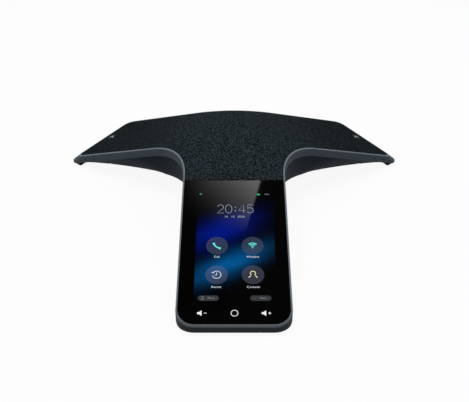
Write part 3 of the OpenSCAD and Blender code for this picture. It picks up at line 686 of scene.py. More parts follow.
def wovenCloth(name, dark, light, pitch, depth, flecks, gloss=0.5, paintedArmShade=1.0):
    finish, tree, shader, spot = newFinish(name, 0.9, **{"Specular IOR Level": gloss})
    weave = useGroup(tree, weaveGroup, {"Vector": spot, "Pitch": pitch, "Slack": 0.12})
    yarn = blendColour(tree, weave["Yarn"], dark, light)
    mottle = add(tree, "ShaderNodeTexNoise", {"Vector": spot, "Scale": 0.85 / pitch, "Detail": 1.0})
    cellFlecks = 0.35 * flecks
    patches = fitRange(tree, mottle.outputs[0], 0.34, 0.66, 1.0 - flecks, 1.0 + flecks, True)
    cells = fitRange(tree, weave["Fleck"], 0.0, 1.0, 1.0 - cellFlecks, 1.0 + cellFlecks)
    fleck = calc(tree, "MULTIPLY", patches, cells)
    if paintedArmShade < 1.0:
        # painted shade: darker out on the rear arms
        sideways = calc(tree, "ABSOLUTE", axes(tree, spot)[0])
        fleck = calc(tree, "MULTIPLY", fleck, fitRange(tree, sideways, 0.03, 0.11, 1.0, paintedArmShade, True))
    flecked = scaled(tree, yarn, fleck)
    tree.links.new(blendColour(tree, weave["Gap"], flecked, shade(dark, 0.25)), shader.inputs["Base Color"])
    bump(tree, shader, weave["Height"], depth)
    return finish


def circuitBoard(name, mask=(0.012, 0.09, 0.045, 1)):
    finish, tree, shader, spot = newFinish(name, 0.32)
    traces = add(tree, "ShaderNodeTexBrick", {
        "Vector": spot, "Scale": 240.0, "Mortar Size": 0.02, "Mortar Smooth": 0.1,
        "Brick Width": 0.9, "Row Height": 0.25}, offset=0.37)
    pads = add(tree, "ShaderNodeTexVoronoi", {"Vector": spot, "Scale": 420.0, "Randomness": 0.8})
    pad = calc(tree, "LESS_THAN", pads.outputs[0], 0.16)
    copper = blendColour(tree, traces.outputs["Fac"], shade(mask, 1.9), mask)
    tree.links.new(blendColour(tree, pad, copper, (0.55, 0.52, 0.42, 1)), shader.inputs["Base Color"])
    tree.links.new(fitRange(tree, pad, 0.0, 1.0, 0.34, 0.22), shader.inputs["Roughness"])
    bump(tree, shader, traces.outputs["Fac"], 0.00003, 0.6)
    return finish


def woundCoil(name):
    finish, tree, shader, spot = newFinish(name, 0.3, 1.0)
    turns = add(tree, "ShaderNodeTexWave", {"Vector": spot, "Scale": 900.0, "Distortion": 0.0},
                bands_direction="Z")
    tree.links.new(blendColour(tree, turns.outputs["Fac"], (0.16, 0.05, 0.02, 1), (0.72, 0.3, 0.14, 1)),
                   shader.inputs["Base Color"])
    bump(tree, shader, turns.outputs["Fac"], 0.00005)
    return finish


def softRubber(name, colour, roughness=0.75, scale=900.0, depth=0.00004):
    finish, tree, shader, spot = newFinish(name, roughness)
    grain = useGroup(tree, grainGroup, {"Vector": spot, "Scale": scale, "Cloud": 30.0})
    tone = fitRange(tree, grain["Tone"], -1.0, 1.0)
    tree.links.new(blendColour(tree, tone, shade(colour, 0.8), shade(colour, 1.25)),
                   shader.inputs["Base Color"])
    bump(tree, shader, grain["Height"], depth)
    return finish


def litMark(name, colour):
    # print that is lit from behind, a little uneven
    finish, tree, shader, spot = newFinish(name, 0.25, **{"Emission Strength": 1.0})
    patch = add(tree, "ShaderNodeTexNoise", {"Vector": spot, "Scale": 300.0})
    lit = blendColour(tree, patch.outputs[0], shade(colour, 0.88), colour)
    tree.links.new(lit, shader.inputs["Emission Color"])
    tree.links.new(blendColour(tree, patch.outputs[0], shade(colour, 0.2), shade(colour, 0.3)),
                   shader.inputs["Base Color"])
    return finish


# the rim colour is lighter to give a painted highlight
colours = {
    "band": paint(80, 92, 101), "rim": paint(122, 132, 140), "base": paint(45, 54, 65),
    "fabricDark": paint(26, 34, 38), "fabricLight": paint(50, 58, 63), "grille": paint(40, 42, 45),
    "foot": paint(30, 31, 33), "black": paint(22, 22, 24),
}
# the front-end painted shade: share of the colour that is left, and between which y it falls to that
bandFinish = mouldedPlastic("bandPlastic", colours["band"], 0.48, 2600.0, 0.00001, vary=0.05, dust=0.01,
                            gloss=0.25, paintedFrontShade=(0.35, -0.152, -0.138))
# the rim's lighter colour is a painted highlight along the rim and its bevel
rimHighlightFinish = mouldedPlastic("rimPaintedHighlight", colours["rim"], 0.34, 2600.0, 0.000005, vary=0.04, gloss=0.4,
                           paintedFrontShade=(0.5, -0.16, -0.13))
baseFinish = mouldedPlastic("basePlastic", colours["base"], 0.55, 1800.0, 0.00002, vary=0.06, gloss=0.1,
                            paintedFrontShade=(0.4, -0.152, -0.138))
# the cloth carries painted shade out on the rear arms
clothFinish = wovenCloth("grilleCloth", colours["fabricDark"], colours["fabricLight"], 0.00095, 0.00025,
                         flecks=0.95, gloss=0.06, paintedArmShade=0.6)
keyFinish = mouldedPlastic("keyCap", paint(38, 45, 49), 0.6, 2200.0, 0.00001, vary=0.06, gloss=0.2)
print("finishes built")

# upper housing: the band round the arms, its rim and its ledge

bodyLengths = (form["frontLength"], form["rearLength"], form["rearLength"])
bodyTips = (form["frontCorner"], form["rearCorner"], form["rearCorner"])
band = {
    "rimWidth": 1.3, "frontRim": 0.85, "bevel": 0.7, "innerEdge": 0.2, "lowEdge": 0.3, "ledgeReach": 9.3,
    "ledgeDrop": 2.3, "ledgeThick": 1.6, "wall": 2.3, "bossRadius": 3.4, "screwJoin": 9, "micHole": 0.8,
    "micDrop": 4.75, "micAt": (134, 145.3), "keyAt": (144.8, 2), "keyBite": 4.65, "edgeCut": 0.3,
    "softShare": 0.12, "wallRows": (5, 3.6, 2), "wallBack": 4, "bossClear": 1.35, "barInset": 3.3,
    "barAlong": (61, 70), "barLevel": (-3.9, -2.9), "gauze": {"gap": 0.01, "thick": 0.3, "behind": 0.5},
    "armScrews": ((124, -32.5), (124, 32.5), (66, 32.5)), "elbowScrewIn": 10.5, "frameScrewX": 31,
    "frameScrewY": (108, 160),
}
layDown = Matrix.Rotation(math.pi / 2, 4, "X")
armSpots = [onArm(30, t, n) for t, n in band["armScrews"]]
rearSpots = [(side * x, y) for side in (-1, 1) for x, y in armSpots]
elbowOut = (halfWidth + form["elbowRadius"]) / math.sin(math.radians(60)) - form["elbowRadius"]
elbowOut -= band["elbowScrewIn"]
elbowSpots = [(side * elbowOut * cos30, -elbowOut * sin30) for side in (-1, 1)]
rimSpots = rearSpots + elbowSpots
frameSpots = [(side * band["frameScrewX"], -y) for side in (-1, 1) for y in band["frameScrewY"]]


def slantReach(inset, drop):
    # how far the slanted end of a rear arm has come out, this far below the crown
    topEdge = crown(*onArm(30, form["rearLength"] - band["bevel"], 0))
    endFall = (topEdge - form["seamFloor"]) / (form["endReach"] + band["bevel"])
    return min(drop / (endFall - rearSlope) - band["bevel"] + inset, form["endReach"])


def rimSections():
    inner, bevel, low, height = band["innerEdge"], band["bevel"], band["lowEdge"], form["bandHeight"]
    width, soft, under = band["rimWidth"], bevel * band["softShare"], band["ledgeDrop"] + band["ledgeThick"]
    cut, near, nearer = band["edgeCut"], soft * 1.1, soft * 0.25
    outer = [(low, height), (low * cut, height - low * cut), (0, height - low)]
    outer += [(0, drop) for drop in band["wallRows"]]
    outer += [(0, bevel + soft), (nearer, bevel), (soft, bevel - near), (bevel - near, soft), (bevel, nearer)]
    outer += [(bevel + soft, 0)]
    rim = [(width - inner, 0), (width - inner * cut, inner * cut), (width, inner), (width, band["ledgeDrop"])]
    sections = [section(inset, drop, reach=(0, slantReach(inset, drop) if inset < bevel else 0))
                for inset, drop in outer]
    sections += [section(inset, drop, reach=(-band["frontRim"], 0)) for inset, drop in rim]
    sections += [section(band["ledgeReach"], band["ledgeDrop"]), section(band["ledgeReach"], under)]
    sections += [section(band["wall"], under, reach=(0, form["endReach"] - band["wallBack"]))]
    sections += [section(band["wall"], height, reach=(0, form["endReach"]))]
    return sections


upperBand = flatShell("upperBand", rimSections(), bodyLengths, bodyTips, filled=False)
growWith(upperBand, crownTree, crownValues(bandFinish))
rightNormals(upperBand)
cutters, micShadeCloths = [], []
for left in (False, True):
    for t in band["micAt"]:
        micDrop = Matrix.Translation((0, 0, -band["micDrop"] * math.cos(rearTilt) * mm))
        place = armPlace(t, -halfWidth, left) @ micDrop
        cutters.append(drum("micCutter", band["micHole"], 8, place @ layDown, 24))
        # a near-black gauze disc just inside each mic hole: painted shade in the hole
        gauze = band["gauze"]
        behind = place @ Matrix.Translation((0, gauze["behind"] * mm, 0)) @ layDown
        micShadeCloths.append(drum("micShadeCloth", band["micHole"] - gauze["gap"], gauze["thick"], behind, 24))
    cutters.append(drum("keyBite", band["keyBite"], 12, armPlace(*band["keyAt"], left), 48))
carve(upperBand, rightNormals(joined("bandCutters", cutters)))
upperBosses = rods("upperBosses", [
    (x, y, crown(x, y) - band["screwJoin"], band["bossRadius"],
     band["screwJoin"] - band["ledgeDrop"] - band["bossClear"]) for x, y in rimSpots], bandFinish)


def along(y):
    # from a distance in plan to one down the slope of the front arm
    return y / math.cos(frontTilt)


barHalf, (barFrom, barTo) = halfWidth - band["barInset"], band["barAlong"]
crossBar = blocks("crossBar",
                  [((-barHalf, barHalf), (-along(barTo), -along(barFrom)), band["barLevel"])], glassPlace)
upperBand = joined("upperBand", [upperBand, upperBosses, crossBar])
coat(smoothBelow(upperBand, 34), bandFinish, rimHighlightFinish)
# faces of the rim and its bevel take the painted highlight finish
for face in upperBand.data.polygons:
    x, y, z = face.center / mm
    if crown(x, y - hubY) - z < band["bevel"] + 0.05:
        face.material_index = 1
# near black: painted shade in the mic holes
micShadeCloth = coat(rightNormals(joined("micShadeCloth", micShadeCloths)),
                mouldedPlastic("micShadeGauze", paint(6, 6, 7), 0.9, gloss=0.05))
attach(micShadeCloth, "phone")
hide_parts("upper_housing")
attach(upperBand, "phone")
print("upper housing made")

# lower housing: drawn in under the band and arched under the body

base = {
    "edgeInset": 1, "undercut": 13, "wall": 2.4, "floor": 1.5, "tongue": (2.45, 3.4), "tongueHeight": 2,
    "flankSteps": 10, "bossRadius": 4.2, "boreRadius": 1.7, "wellRadius": 3.1, "grip": 2.4, "coreDrop": 5,
    "footTop": 1.7, "footInset": 2.8, "footDepth": 9.8, "footGap": 0.1, "thinGuard": 0.12,
    "bayX": (-27, 27), "bayY": (50, 80), "bayZ": (20, 40), "bayWall": 2, "linerBack": 70, "gap": 0.15,
    "tongueBack": 2.3, "bossSink": 1, "overCut": 1, "wellStart": 2, "coreGap": 0.2, "coreLift": 0.1,
    "coreRise": 0.05,
}
sockets = {
    "ethernet": ((-8, 8), (21.8, 35.3)), "usb": ((11, 25), (21.8, 28.8)),
    "service": ((-19, -11), (21.8, 25.0)), "lock": ((13, 20), (33, 36)), "audio": (-23.2, 24.9, 3.0),
}


def flankShare(q):
    # round near the hub, a straight chamfer along the arms
    turn = math.pi / 2 * q

    def share(x, y):
        straight = min(max((fall(x, y) - form["flankFrom"]) / form["flankOver"], 0), 1)
        return (1 - straight) * math.sin(turn) + straight * (1 - math.cos(turn))
    return share


def flankSections(gap, lift, reverse=False):
    sections = []
    for step in range(base["flankSteps"] + 1):
        q = step / base["flankSteps"]
        curve = 1 - math.cos(math.pi / 2 * q)
        inset = base["edgeInset"] + gap + (base["undercut"] - base["edgeInset"]) * curve
        rise = base["thinGuard"] * gap * (1 - q)
        sections.append(section(inset, form["bandHeight"], flankShare(q), lift, (0, form["endReach"]), rise))
    return sections[::-1] if reverse else sections


tongueIn, tongueOut = base["tongue"][1], base["tongue"][0]
tongueTop = form["bandHeight"] - base["tongueHeight"]
tongueReach = (0, form["endReach"] - base["tongueBack"])
joinRows = [
    section(tongueOut, form["bandHeight"], reach=(0, form["endReach"])),
    section(tongueOut, tongueTop, reach=tongueReach), section(tongueIn, tongueTop, reach=tongueReach)]
innerRows = flankSections(base["wall"], base["floor"])[1:]
lowerShell = flatShell("lowerShell", flankSections(0, 0, True) + joinRows + innerRows, bodyLengths, bodyTips)
growWith(lowerShell, crownTree, crownValues(baseFinish))
rightNormals(lowerShell)
core = flatShell("core", flankSections(base["coreGap"], base["coreLift"], True) + [
    section(tongueIn, form["bandHeight"], reach=(0, form["endReach"]), rise=base["coreRise"]),
    section(tongueIn, base["coreDrop"], reach=(0, form["endReach"]))], bodyLengths, bodyTips)
growWith(core, crownTree, crownValues(baseFinish))
rightNormals(core)
wallBack = base["bayY"][0] - base["bayWall"]
liner = blocks("liner", [(
    (base["bayX"][0] - base["bayWall"], base["bayX"][1] + base["bayWall"]), (wallBack, base["linerBack"]),
    (base["bayZ"][0] - base["bayWall"], base["bayZ"][1] + base["bayWall"]))], hubPlace)
screwSpots = rimSpots + frameSpots
lowerBosses = rods("lowerBosses", [
    (x, y, belly(x, y) - base["bossSink"], base["bossRadius"],
     crown(x, y) - band["screwJoin"] - belly(x, y) + base["bossSink"]) for x, y in screwSpots],
     baseFinish, 24)
fill = joined("fill", [liner, lowerBosses])
carve(fill, core, "INTERSECT")
carve(lowerShell, fill, "UNION")
carve(lowerShell, blocks("bayCutter", [(base["bayX"], base["bayY"], base["bayZ"])], hubPlace))
gap = base["gap"]
carve(lowerShell, blocks("socketCutter", [
    ((x[0] - gap, x[1] + gap), (base["bayY"][0] - 5, base["bayY"][0] + 5), (z[0] - gap, z[1] + gap))
    for x, z in (sockets["ethernet"], sockets["usb"], sockets["service"], sockets["lock"])], hubPlace))
audioX, audioZ, audioRadius = sockets["audio"]
audioPlace = hubPlace @ Matrix.Translation((audioX * mm, base["bayY"][0] * mm, audioZ * mm)) @ layDown
carve(lowerShell, drum("audioCutter", audioRadius, 12, audioPlace, 32))
carve(lowerShell, rods("boreCutter", [
    (x, y, crown(x, y) - band["screwJoin"] - base["grip"] - base["overCut"], base["boreRadius"],
     base["grip"] + 2 * base["overCut"]) for x, y in screwSpots], baseFinish, 20))
carve(lowerShell, rods("wellCutter", [
    (x, y, -base["wellStart"], base["wellRadius"],
     crown(x, y) - band["screwJoin"] - base["grip"] + base["wellStart"]) for x, y in screwSpots],
     baseFinish, 24))


def footBed(length, corner, turn):
    # the shallow bed for a rubber foot, across the end of an arm
    gap, arcs = base["footGap"], 12
    inset = base["footInset"] - gap
    end, side, radius = length - inset, halfWidth - inset, corner - inset
    start = length - base["footInset"] - base["footDepth"] - gap
    outline = [(start, side), (start, -side)]
    for turnFrom, middle in ((-90, -side + radius), (0, side - radius)):
        outline += [(end - radius + radius * math.cos(a), middle + radius * math.sin(a))
                    for a in (math.radians(turnFrom + 90 * i / arcs) for i in range(arcs + 1))]
    place = hubPlace @ Matrix.Rotation(math.radians(turn), 4, "Z")
    return rightNormals(slab("footBed", [(outline, -1), (outline, base["footTop"] + gap)], place))


footEnds = ((form["frontLength"], form["frontCorner"]), (rearEnd, endCorner), (rearEnd, endCorner))
for turn, (length, corner) in zip(armTurns, footEnds):
    carve(lowerShell, footBed(length, corner, turn))
coat(smoothBelow(lowerShell, 30), baseFinish)
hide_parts("lower_housing")
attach(lowerShell, "phone")
print("lower housing made")

# grille cloth, stretched over the speaker grille

cloth = {"inset": 1.45, "seam": 65.1, "drop": 0.1, "thick": 0.5, "edge": 0.35, "frontTip": 1,
         "keyRadius": 4.6}
clothLengths = (cloth["seam"] + cloth["inset"], form["rearLength"], form["rearLength"])
clothTips = (cloth["frontTip"], form["rearCorner"], form["rearCorner"])
fold, lowSide = cloth["edge"], cloth["drop"] + cloth["thick"]
grilleCloth = flatShell("grilleCloth", [
    section(cloth["inset"], lowSide), section(cloth["inset"], cloth["drop"] + fold),
    section(cloth["inset"] + fold * 0.3, cloth["drop"] + fold * 0.3),
    section(cloth["inset"] + fold, cloth["drop"])], clothLengths, clothTips)
growWith(grilleCloth, crownTree, crownValues(clothFinish))
rightNormals(grilleCloth)
keyCutters = [drum("keyCutter", cloth["keyRadius"], 6, armPlace(*band["keyAt"], left), 48)
              for left in (False, True)]
carve(grilleCloth, rightNormals(joined("keyCutters", keyCutters)))
coat(smoothBelow(grilleCloth, 40), clothFinish)
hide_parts("grille_fabric")
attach(grilleCloth, "phone")

# cover glass

glass = {
    "half": 41.55, "back": 65.5, "front": 197.7, "corner": 12.2, "edge": 0.5, "low": -1.7, "high": -0.1,
    "arcSteps": 12, "edgeSteps": 6,
}


def glassOutline(inset):
    x, radius = glass["half"] - inset, glass["corner"] - inset
    back, front = -along(glass["back"]) - inset, -along(glass["front"]) + inset
    outline = [(x, back), (-x, back)]
    for side, start in ((-1, 180), (1, 270)):
        for step in range(glass["arcSteps"] + 1):
            turn = math.radians(start + 90 * step / glass["arcSteps"])
            outline.append((side * (x - radius) + radius * math.cos(turn),
                            front + radius + radius * math.sin(turn)))
    return outline


glassEdge = [(0, glass["low"])]
for step in range(glass["edgeSteps"] + 1):
    turn = math.pi / 2 * step / glass["edgeSteps"]
    glassEdge.append((glass["edge"] * (1 - math.cos(turn)),
                      glass["high"] - glass["edge"] * (1 - math.sin(turn))))
coverGlass = slab("coverGlass", [(glassOutline(inset), level) for inset, level in glassEdge], glassPlace)
rightNormals(coverGlass)

# each ribbon: its middle across and down the glass, lean in degrees, half length, half width, and light
screen = {
    "x": (-30.2, 32.0), "along": (80.7, 191.2), "fade": 0.4, "lines": 0.42, "linesBend": 0.09,
    "teal": ((-4, 154, -28, 30, 9), (0.0, 0.083, 0.262, 1)),
    "deep": ((-10, 122, -28, 26, 12), (0.0, 0.008, 0.2, 1)),
}


def makeScreenGroup():
    # soft coloured light on the lit part of the screen, in millimetres across and down the glass
    group, given, out = newGroup("ShaderNodeTree", "screenLight", [("Vector", "Vector", None)],
                                 [("Light", "Color")])
    spot = axes(group, given[0])
    across = calc(group, "MULTIPLY", spot[0], 1000.0)
    down = calc(group, "MULTIPLY", spot[1], -1000.0)

    def ribbon(centreX, centreY, lean, length, width):
        # a soft streak of light, leaning by so many degrees
        def part(operation, first, firstShare, second, secondShare, size):
            both = (calc(group, "MULTIPLY", first, firstShare), calc(group, "MULTIPLY", second, secondShare))
            share = calc(group, "DIVIDE", calc(group, operation, *both), size)
            return calc(group, "MULTIPLY", share, share)

        c, n = math.cos(math.radians(lean)), math.sin(math.radians(lean))
        dx = calc(group, "SUBTRACT", across, centreX)
        dy = calc(group, "SUBTRACT", down, centreY)
        far = calc(group, "ADD", part("ADD", dx, c, dy, n, length), part("SUBTRACT", dy, c, dx, n, width))
        return calc(group, "EXPONENT", calc(group, "MULTIPLY", far, -1.0))

    def within(value, ends):
        # 1 between the ends, with a short fade at each
        start, end = ends
        return calc(group, "MULTIPLY", fitRange(group, value, start, start + screen["fade"]),
                    fitRange(group, value, end - screen["fade"], end, 1.0, 0.0))

    wave = calc(group, "SINE", calc(group, "MULTIPLY", across, screen["linesBend"]))
    lines = calc(group, "SINE", calc(group, "ADD", calc(group, "MULTIPLY", down, screen["lines"]), wave))
    lines = fitRange(group, lines, -1.0, 1.0, 0.92, 1.08)
    streaks = []
    for shape, colour in (screen["teal"], screen["deep"]):
        streaks.append(blendColour(group, calc(group, "MULTIPLY", ribbon(*shape), lines),
                                   (0, 0, 0, 1), colour))
    light = blendColour(group, 1.0, *streaks, "ADD")
    inside = calc(group, "MULTIPLY", within(across, screen["x"]), within(down, screen["along"]))
    group.links.new(blendColour(group, inside, (0, 0, 0, 1), light), out[0])
    return group


screenGroup = makeScreenGroup()


def screenLight(tree, spot):
    # turned back into the plane of the glass
    flat = add(tree, "ShaderNodeMapping", {"Vector": spot, "Location": (0, hubY * mm, form["peak"] * mm),
                                           "Rotation": (frontTilt, 0, 0)}, vector_type="TEXTURE")
    return useGroup(tree, screenGroup, {"Vector": flat.outputs[0]})["Light"]


def screenFinish(name, roughness, base, **plain):
    finish, tree, shader, spot = newFinish(name, roughness, **plain)
    smears = add(tree, "ShaderNodeTexNoise", {"Vector": spot, "Scale": 60.0, "Detail": 3.0})
    tree.links.new(fitRange(tree, smears.outputs[0], 0.3, 0.8, roughness, roughness + 0.02),
                   shader.inputs["Roughness"])
    tree.links.new(screenLight(tree, spot), shader.inputs["Emission Color"])
    tree.links.new(blendColour(tree, smears.outputs[0], base, shade(base, 1.3)), shader.inputs["Base Color"])
    return finish


coverFinish = screenFinish("coverGlassBlack", 0.02, (0.0012, 0.0012, 0.0014, 1),
                           **{"Emission Strength": 1.0, "IOR": 1.5})
coat(smoothBelow(coverGlass, 30), coverFinish, mouldedPlastic("glassEdgeHighlight", paint(125, 126, 128), 0.3))
for face in coverGlass.data.polygons:
    face.use_smooth = len(face.vertices) == 4
    # the ground edge that faces the cloth, light grey as a painted highlight
    if face.use_smooth and face.normal.y > 0.4 and face.normal.z > 0.1:
        face.material_index = 1
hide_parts("cover_glass")
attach(coverGlass, "phone")
print("cover glass made")

# what the screen shows, and the touch marks: thin print on the glass

printLevel = {"base": glass["high"] + 0.01, "step": 0.012, "thick": 0.008}
half = printLevel["thick"] / 2


def glassDisc(name, body, clear):
    # a see-through plate: its own tone over what is left of the light behind it
    finish, tree, shader, spot = newFinish(name, 0.25,
                                           **{"Emission Strength": 1.0, "Specular IOR Level": 0.1})
    behind = scaled(tree, screenLight(tree, spot), clear)
    tree.links.new(blendColour(tree, 1.0, body, behind, "ADD"), shader.inputs["Emission Color"])
    patch = add(tree, "ShaderNodeTexNoise", {"Vector": spot, "Scale": 300.0})
    tree.links.new(blendColour(tree, patch.outputs[0], (0.002, 0.002, 0.003, 1), (0.004, 0.004, 0.005, 1)),
                   shader.inputs["Base Color"])
    return finish


inkColours = {
    "white": (0.6, 0.63, 0.67), "grey": (0.2, 0.22, 0.23), "clock": (0.33, 0.37, 0.42),
    "mark": (0.42, 0.44, 0.46), "green": (0.02, 0.4, 0.16), "turquoise": (0.13, 0.75, 0.67),
    "yellow": (0.75, 0.72, 0.42), "pill": (0.032, 0.034, 0.038), "key": (0.78, 0.78, 0.79),
}
inks = {name: litMark("ink" + name.capitalize(), (*colour, 1)) for name, colour in inkColours.items()}
inks["disc"] = glassDisc("inkDisc", (0.028, 0.034, 0.05, 1), 0.55)
inks["discLow"] = glassDisc("inkDiscLow", (0.033, 0.035, 0.05, 1), 0.8)


def discOutline(x, y, radius, count):
    turns = [2 * math.pi * i / count for i in range(count)]
    return [(x + radius * math.cos(turn), y + radius * math.sin(turn)) for turn in turns]


def pillOutline(x, y, width, height, radius, count=8):
    outline = []
    for cornerX, cornerY, start in ((1, 1, 0), (-1, 1, 90), (-1, -1, 180), (1, -1, 270)):
        for i in range(count + 1):
            turn = math.radians(start + 90 * i / count)
            outline.append((x + cornerX * (width / 2 - radius) + radius * math.cos(turn),
                            y + cornerY * (height / 2 - radius) + radius * math.sin(turn)))
    return outline


def printShapes(name, outlines, layer):
    high = printLevel["base"] + layer * printLevel["step"]
    points, faces = [], []
    for outline in outlines:
        start, count = len(points), len(outline)
        for level in (high - printLevel["thick"], high):
            points += [glassPlace @ Vector((x * mm, y * mm, level * mm)) for x, y in outline]
        faces.append(tuple(range(start, start + count))[::-1])
        faces.append(tuple(range(start + count, start + 2 * count)))
        for i in range(count):
            following = (i + 1) % count
            faces.append((start + i, start + following, start + count + following, start + count + i))
    return pieceFrom(name, points, faces)


def printStrokes(name, paths, width, layer, place=glassPlace):
    # paths are lists of (x, y), closed where the last point is the first
    curve = bpy.data.curves.new(name, "CURVE")
    curve.dimensions = "3D"
    for path in paths:
        closed = path[0] == path[-1]
        points = path[:-1] if closed else path
        spline = curve.splines.new("POLY")
        spline.points.add(len(points) - 1)
        for point, (x, y) in zip(spline.points, points):
            point.co = (x * mm, y * mm, 0, 1)
        spline.use_cyclic_u = closed
    piece = growWith(linkPiece(name, curve), strokeTree, {"Stroke": width * mm, "Sides": 8})
    level = printLevel["base"] + layer * printLevel["step"] - half
    pressed = Matrix.Diagonal((1, 1, printLevel["thick"] / width, 1))
    piece.data.transform(place @ Matrix.Translation((0, 0, level * mm)) @ pressed)
    return piece


def printText(name, lines, layer):
    # lines are (words, x, y, height), each centred
    pieces = []
    level = printLevel["base"] + layer * printLevel["step"]
    for words, x, y, height in lines:
        text = bpy.data.curves.new(name, "FONT")
        text.body = words
        text.size = height * mm
        text.align_x, text.align_y = "CENTER", "CENTER"
        text.extrude = half * mm
        text.resolution_u = 3
        piece = settle(linkPiece(name, text))
        piece.data.transform(glassPlace @ Matrix.Translation((x * mm, y * mm, (level - half) * mm)))
        pieces.append(piece)
    return joined(name, pieces)


def arc(x, y, radiusX, radiusY, start, end, count=14):
    return [(x + radiusX * math.cos(math.radians(start + (end - start) * i / count)),
             y + radiusY * math.sin(math.radians(start + (end - start) * i / count)))
             for i in range(count + 1)]


def closedArc(x, y, radiusX, radiusY, count):
    path = arc(x, y, radiusX, radiusY, 0, 360, count)
    path[-1] = path[0]
    return path


def moved(paths, x, y, scale):
    return [[(px * scale + x, py * scale + y) for px, py in path] for path in paths]


digitPaths = {
    "0": [closedArc(0.5, 0.8, 0.45, 0.75, 30)],
    "1": [[(0.25, 1.3), (0.6, 1.55), (0.6, 0.05)]],
    "2": [arc(0.5, 1.1, 0.42, 0.45, 165, -30, 16) + [(0.05, 0.06), (0.95, 0.06)]],
    "4": [[(0.95, 0.5), (0.02, 0.5), (0.72, 1.55), (0.72, 0.05)]],
    "5": [[(0.88, 1.53), (0.2, 1.53), (0.13, 0.88)] + arc(0.47, 0.54, 0.45, 0.48, 125, -150, 18)],
    ":": [arc(0.3, 1.1, 0.06, 0.06, 0, 360, 8), arc(0.3, 0.45, 0.06, 0.06, 0, 360, 8)],
}


def clockPaths(text, left, low, height, widths):
    paths, x, scale = [], left, height / 1.6
    for letter in text:
        paths += moved(digitPaths[letter], x, low, scale)
        x += widths[letter == ":"]
    return paths


shown = {
    "clock": ("20:45", -14.0, -104.4, 9.3, (6.65, 4.2)), "clockStroke": 0.36,
    "discs": {
        "call": (-13.3, -136.7), "link": (14.4, -136.7), "history": (-13.2, -164.0),
        "people": (14.3, -164.0)},
    "labels": [
        ("Dial", -13.4, -147.4), ("Wireless", 14.4, -147.4), ("Recent", -13.4, -175.0),
        ("Contacts", 14.4, -175.0)],
    "discRadius": 8.5,
    "labelHeight": 2.7, "pills": [(-19.1, -184.8), (19.7, -184.8)], "pillSize": (15.6, 4.6),
    "softLabels": [("Menu", -16.9, -184.8, 2.4), ("Next", 21.6, -184.8, 2.4)],
    "date": ("14   10   2030", 0.3, -107.9, 2.9), "status": ("100%", 26.7, -84.3, 1.9),
    "signalAt": (-27.5, -84.9), "charge": (20.0, -84.4, 2.6, 1.5, 0.3, 3),
    "keys": {"down": -23.3, "home": 0.3, "up": 23.7}, "keyRow": -197.6,
}
discs, clock, keyRow = shown["discs"], shown["clock"], shown["keyRow"]
callX, callY = discs["call"]
linkX, linkY = discs["link"]
pastX, pastY = discs["history"]
peopleX, peopleY = discs["people"]
downX, homeX, upX = shown["keys"]["down"], shown["keys"]["home"], shown["keys"]["up"]


def discPair(name, first, second):
    return printShapes(name, [discOutline(*discs[k], shown["discRadius"], 56) for k in (first, second)], 0)


def speakerOutline(x, y):
    return [(x - 1.9, y - 0.85), (x - 0.6, y - 0.85), (x + 1.35, y - 2.35),
            (x + 1.35, y + 2.35), (x - 0.6, y + 0.85), (x - 1.9, y + 0.85)]


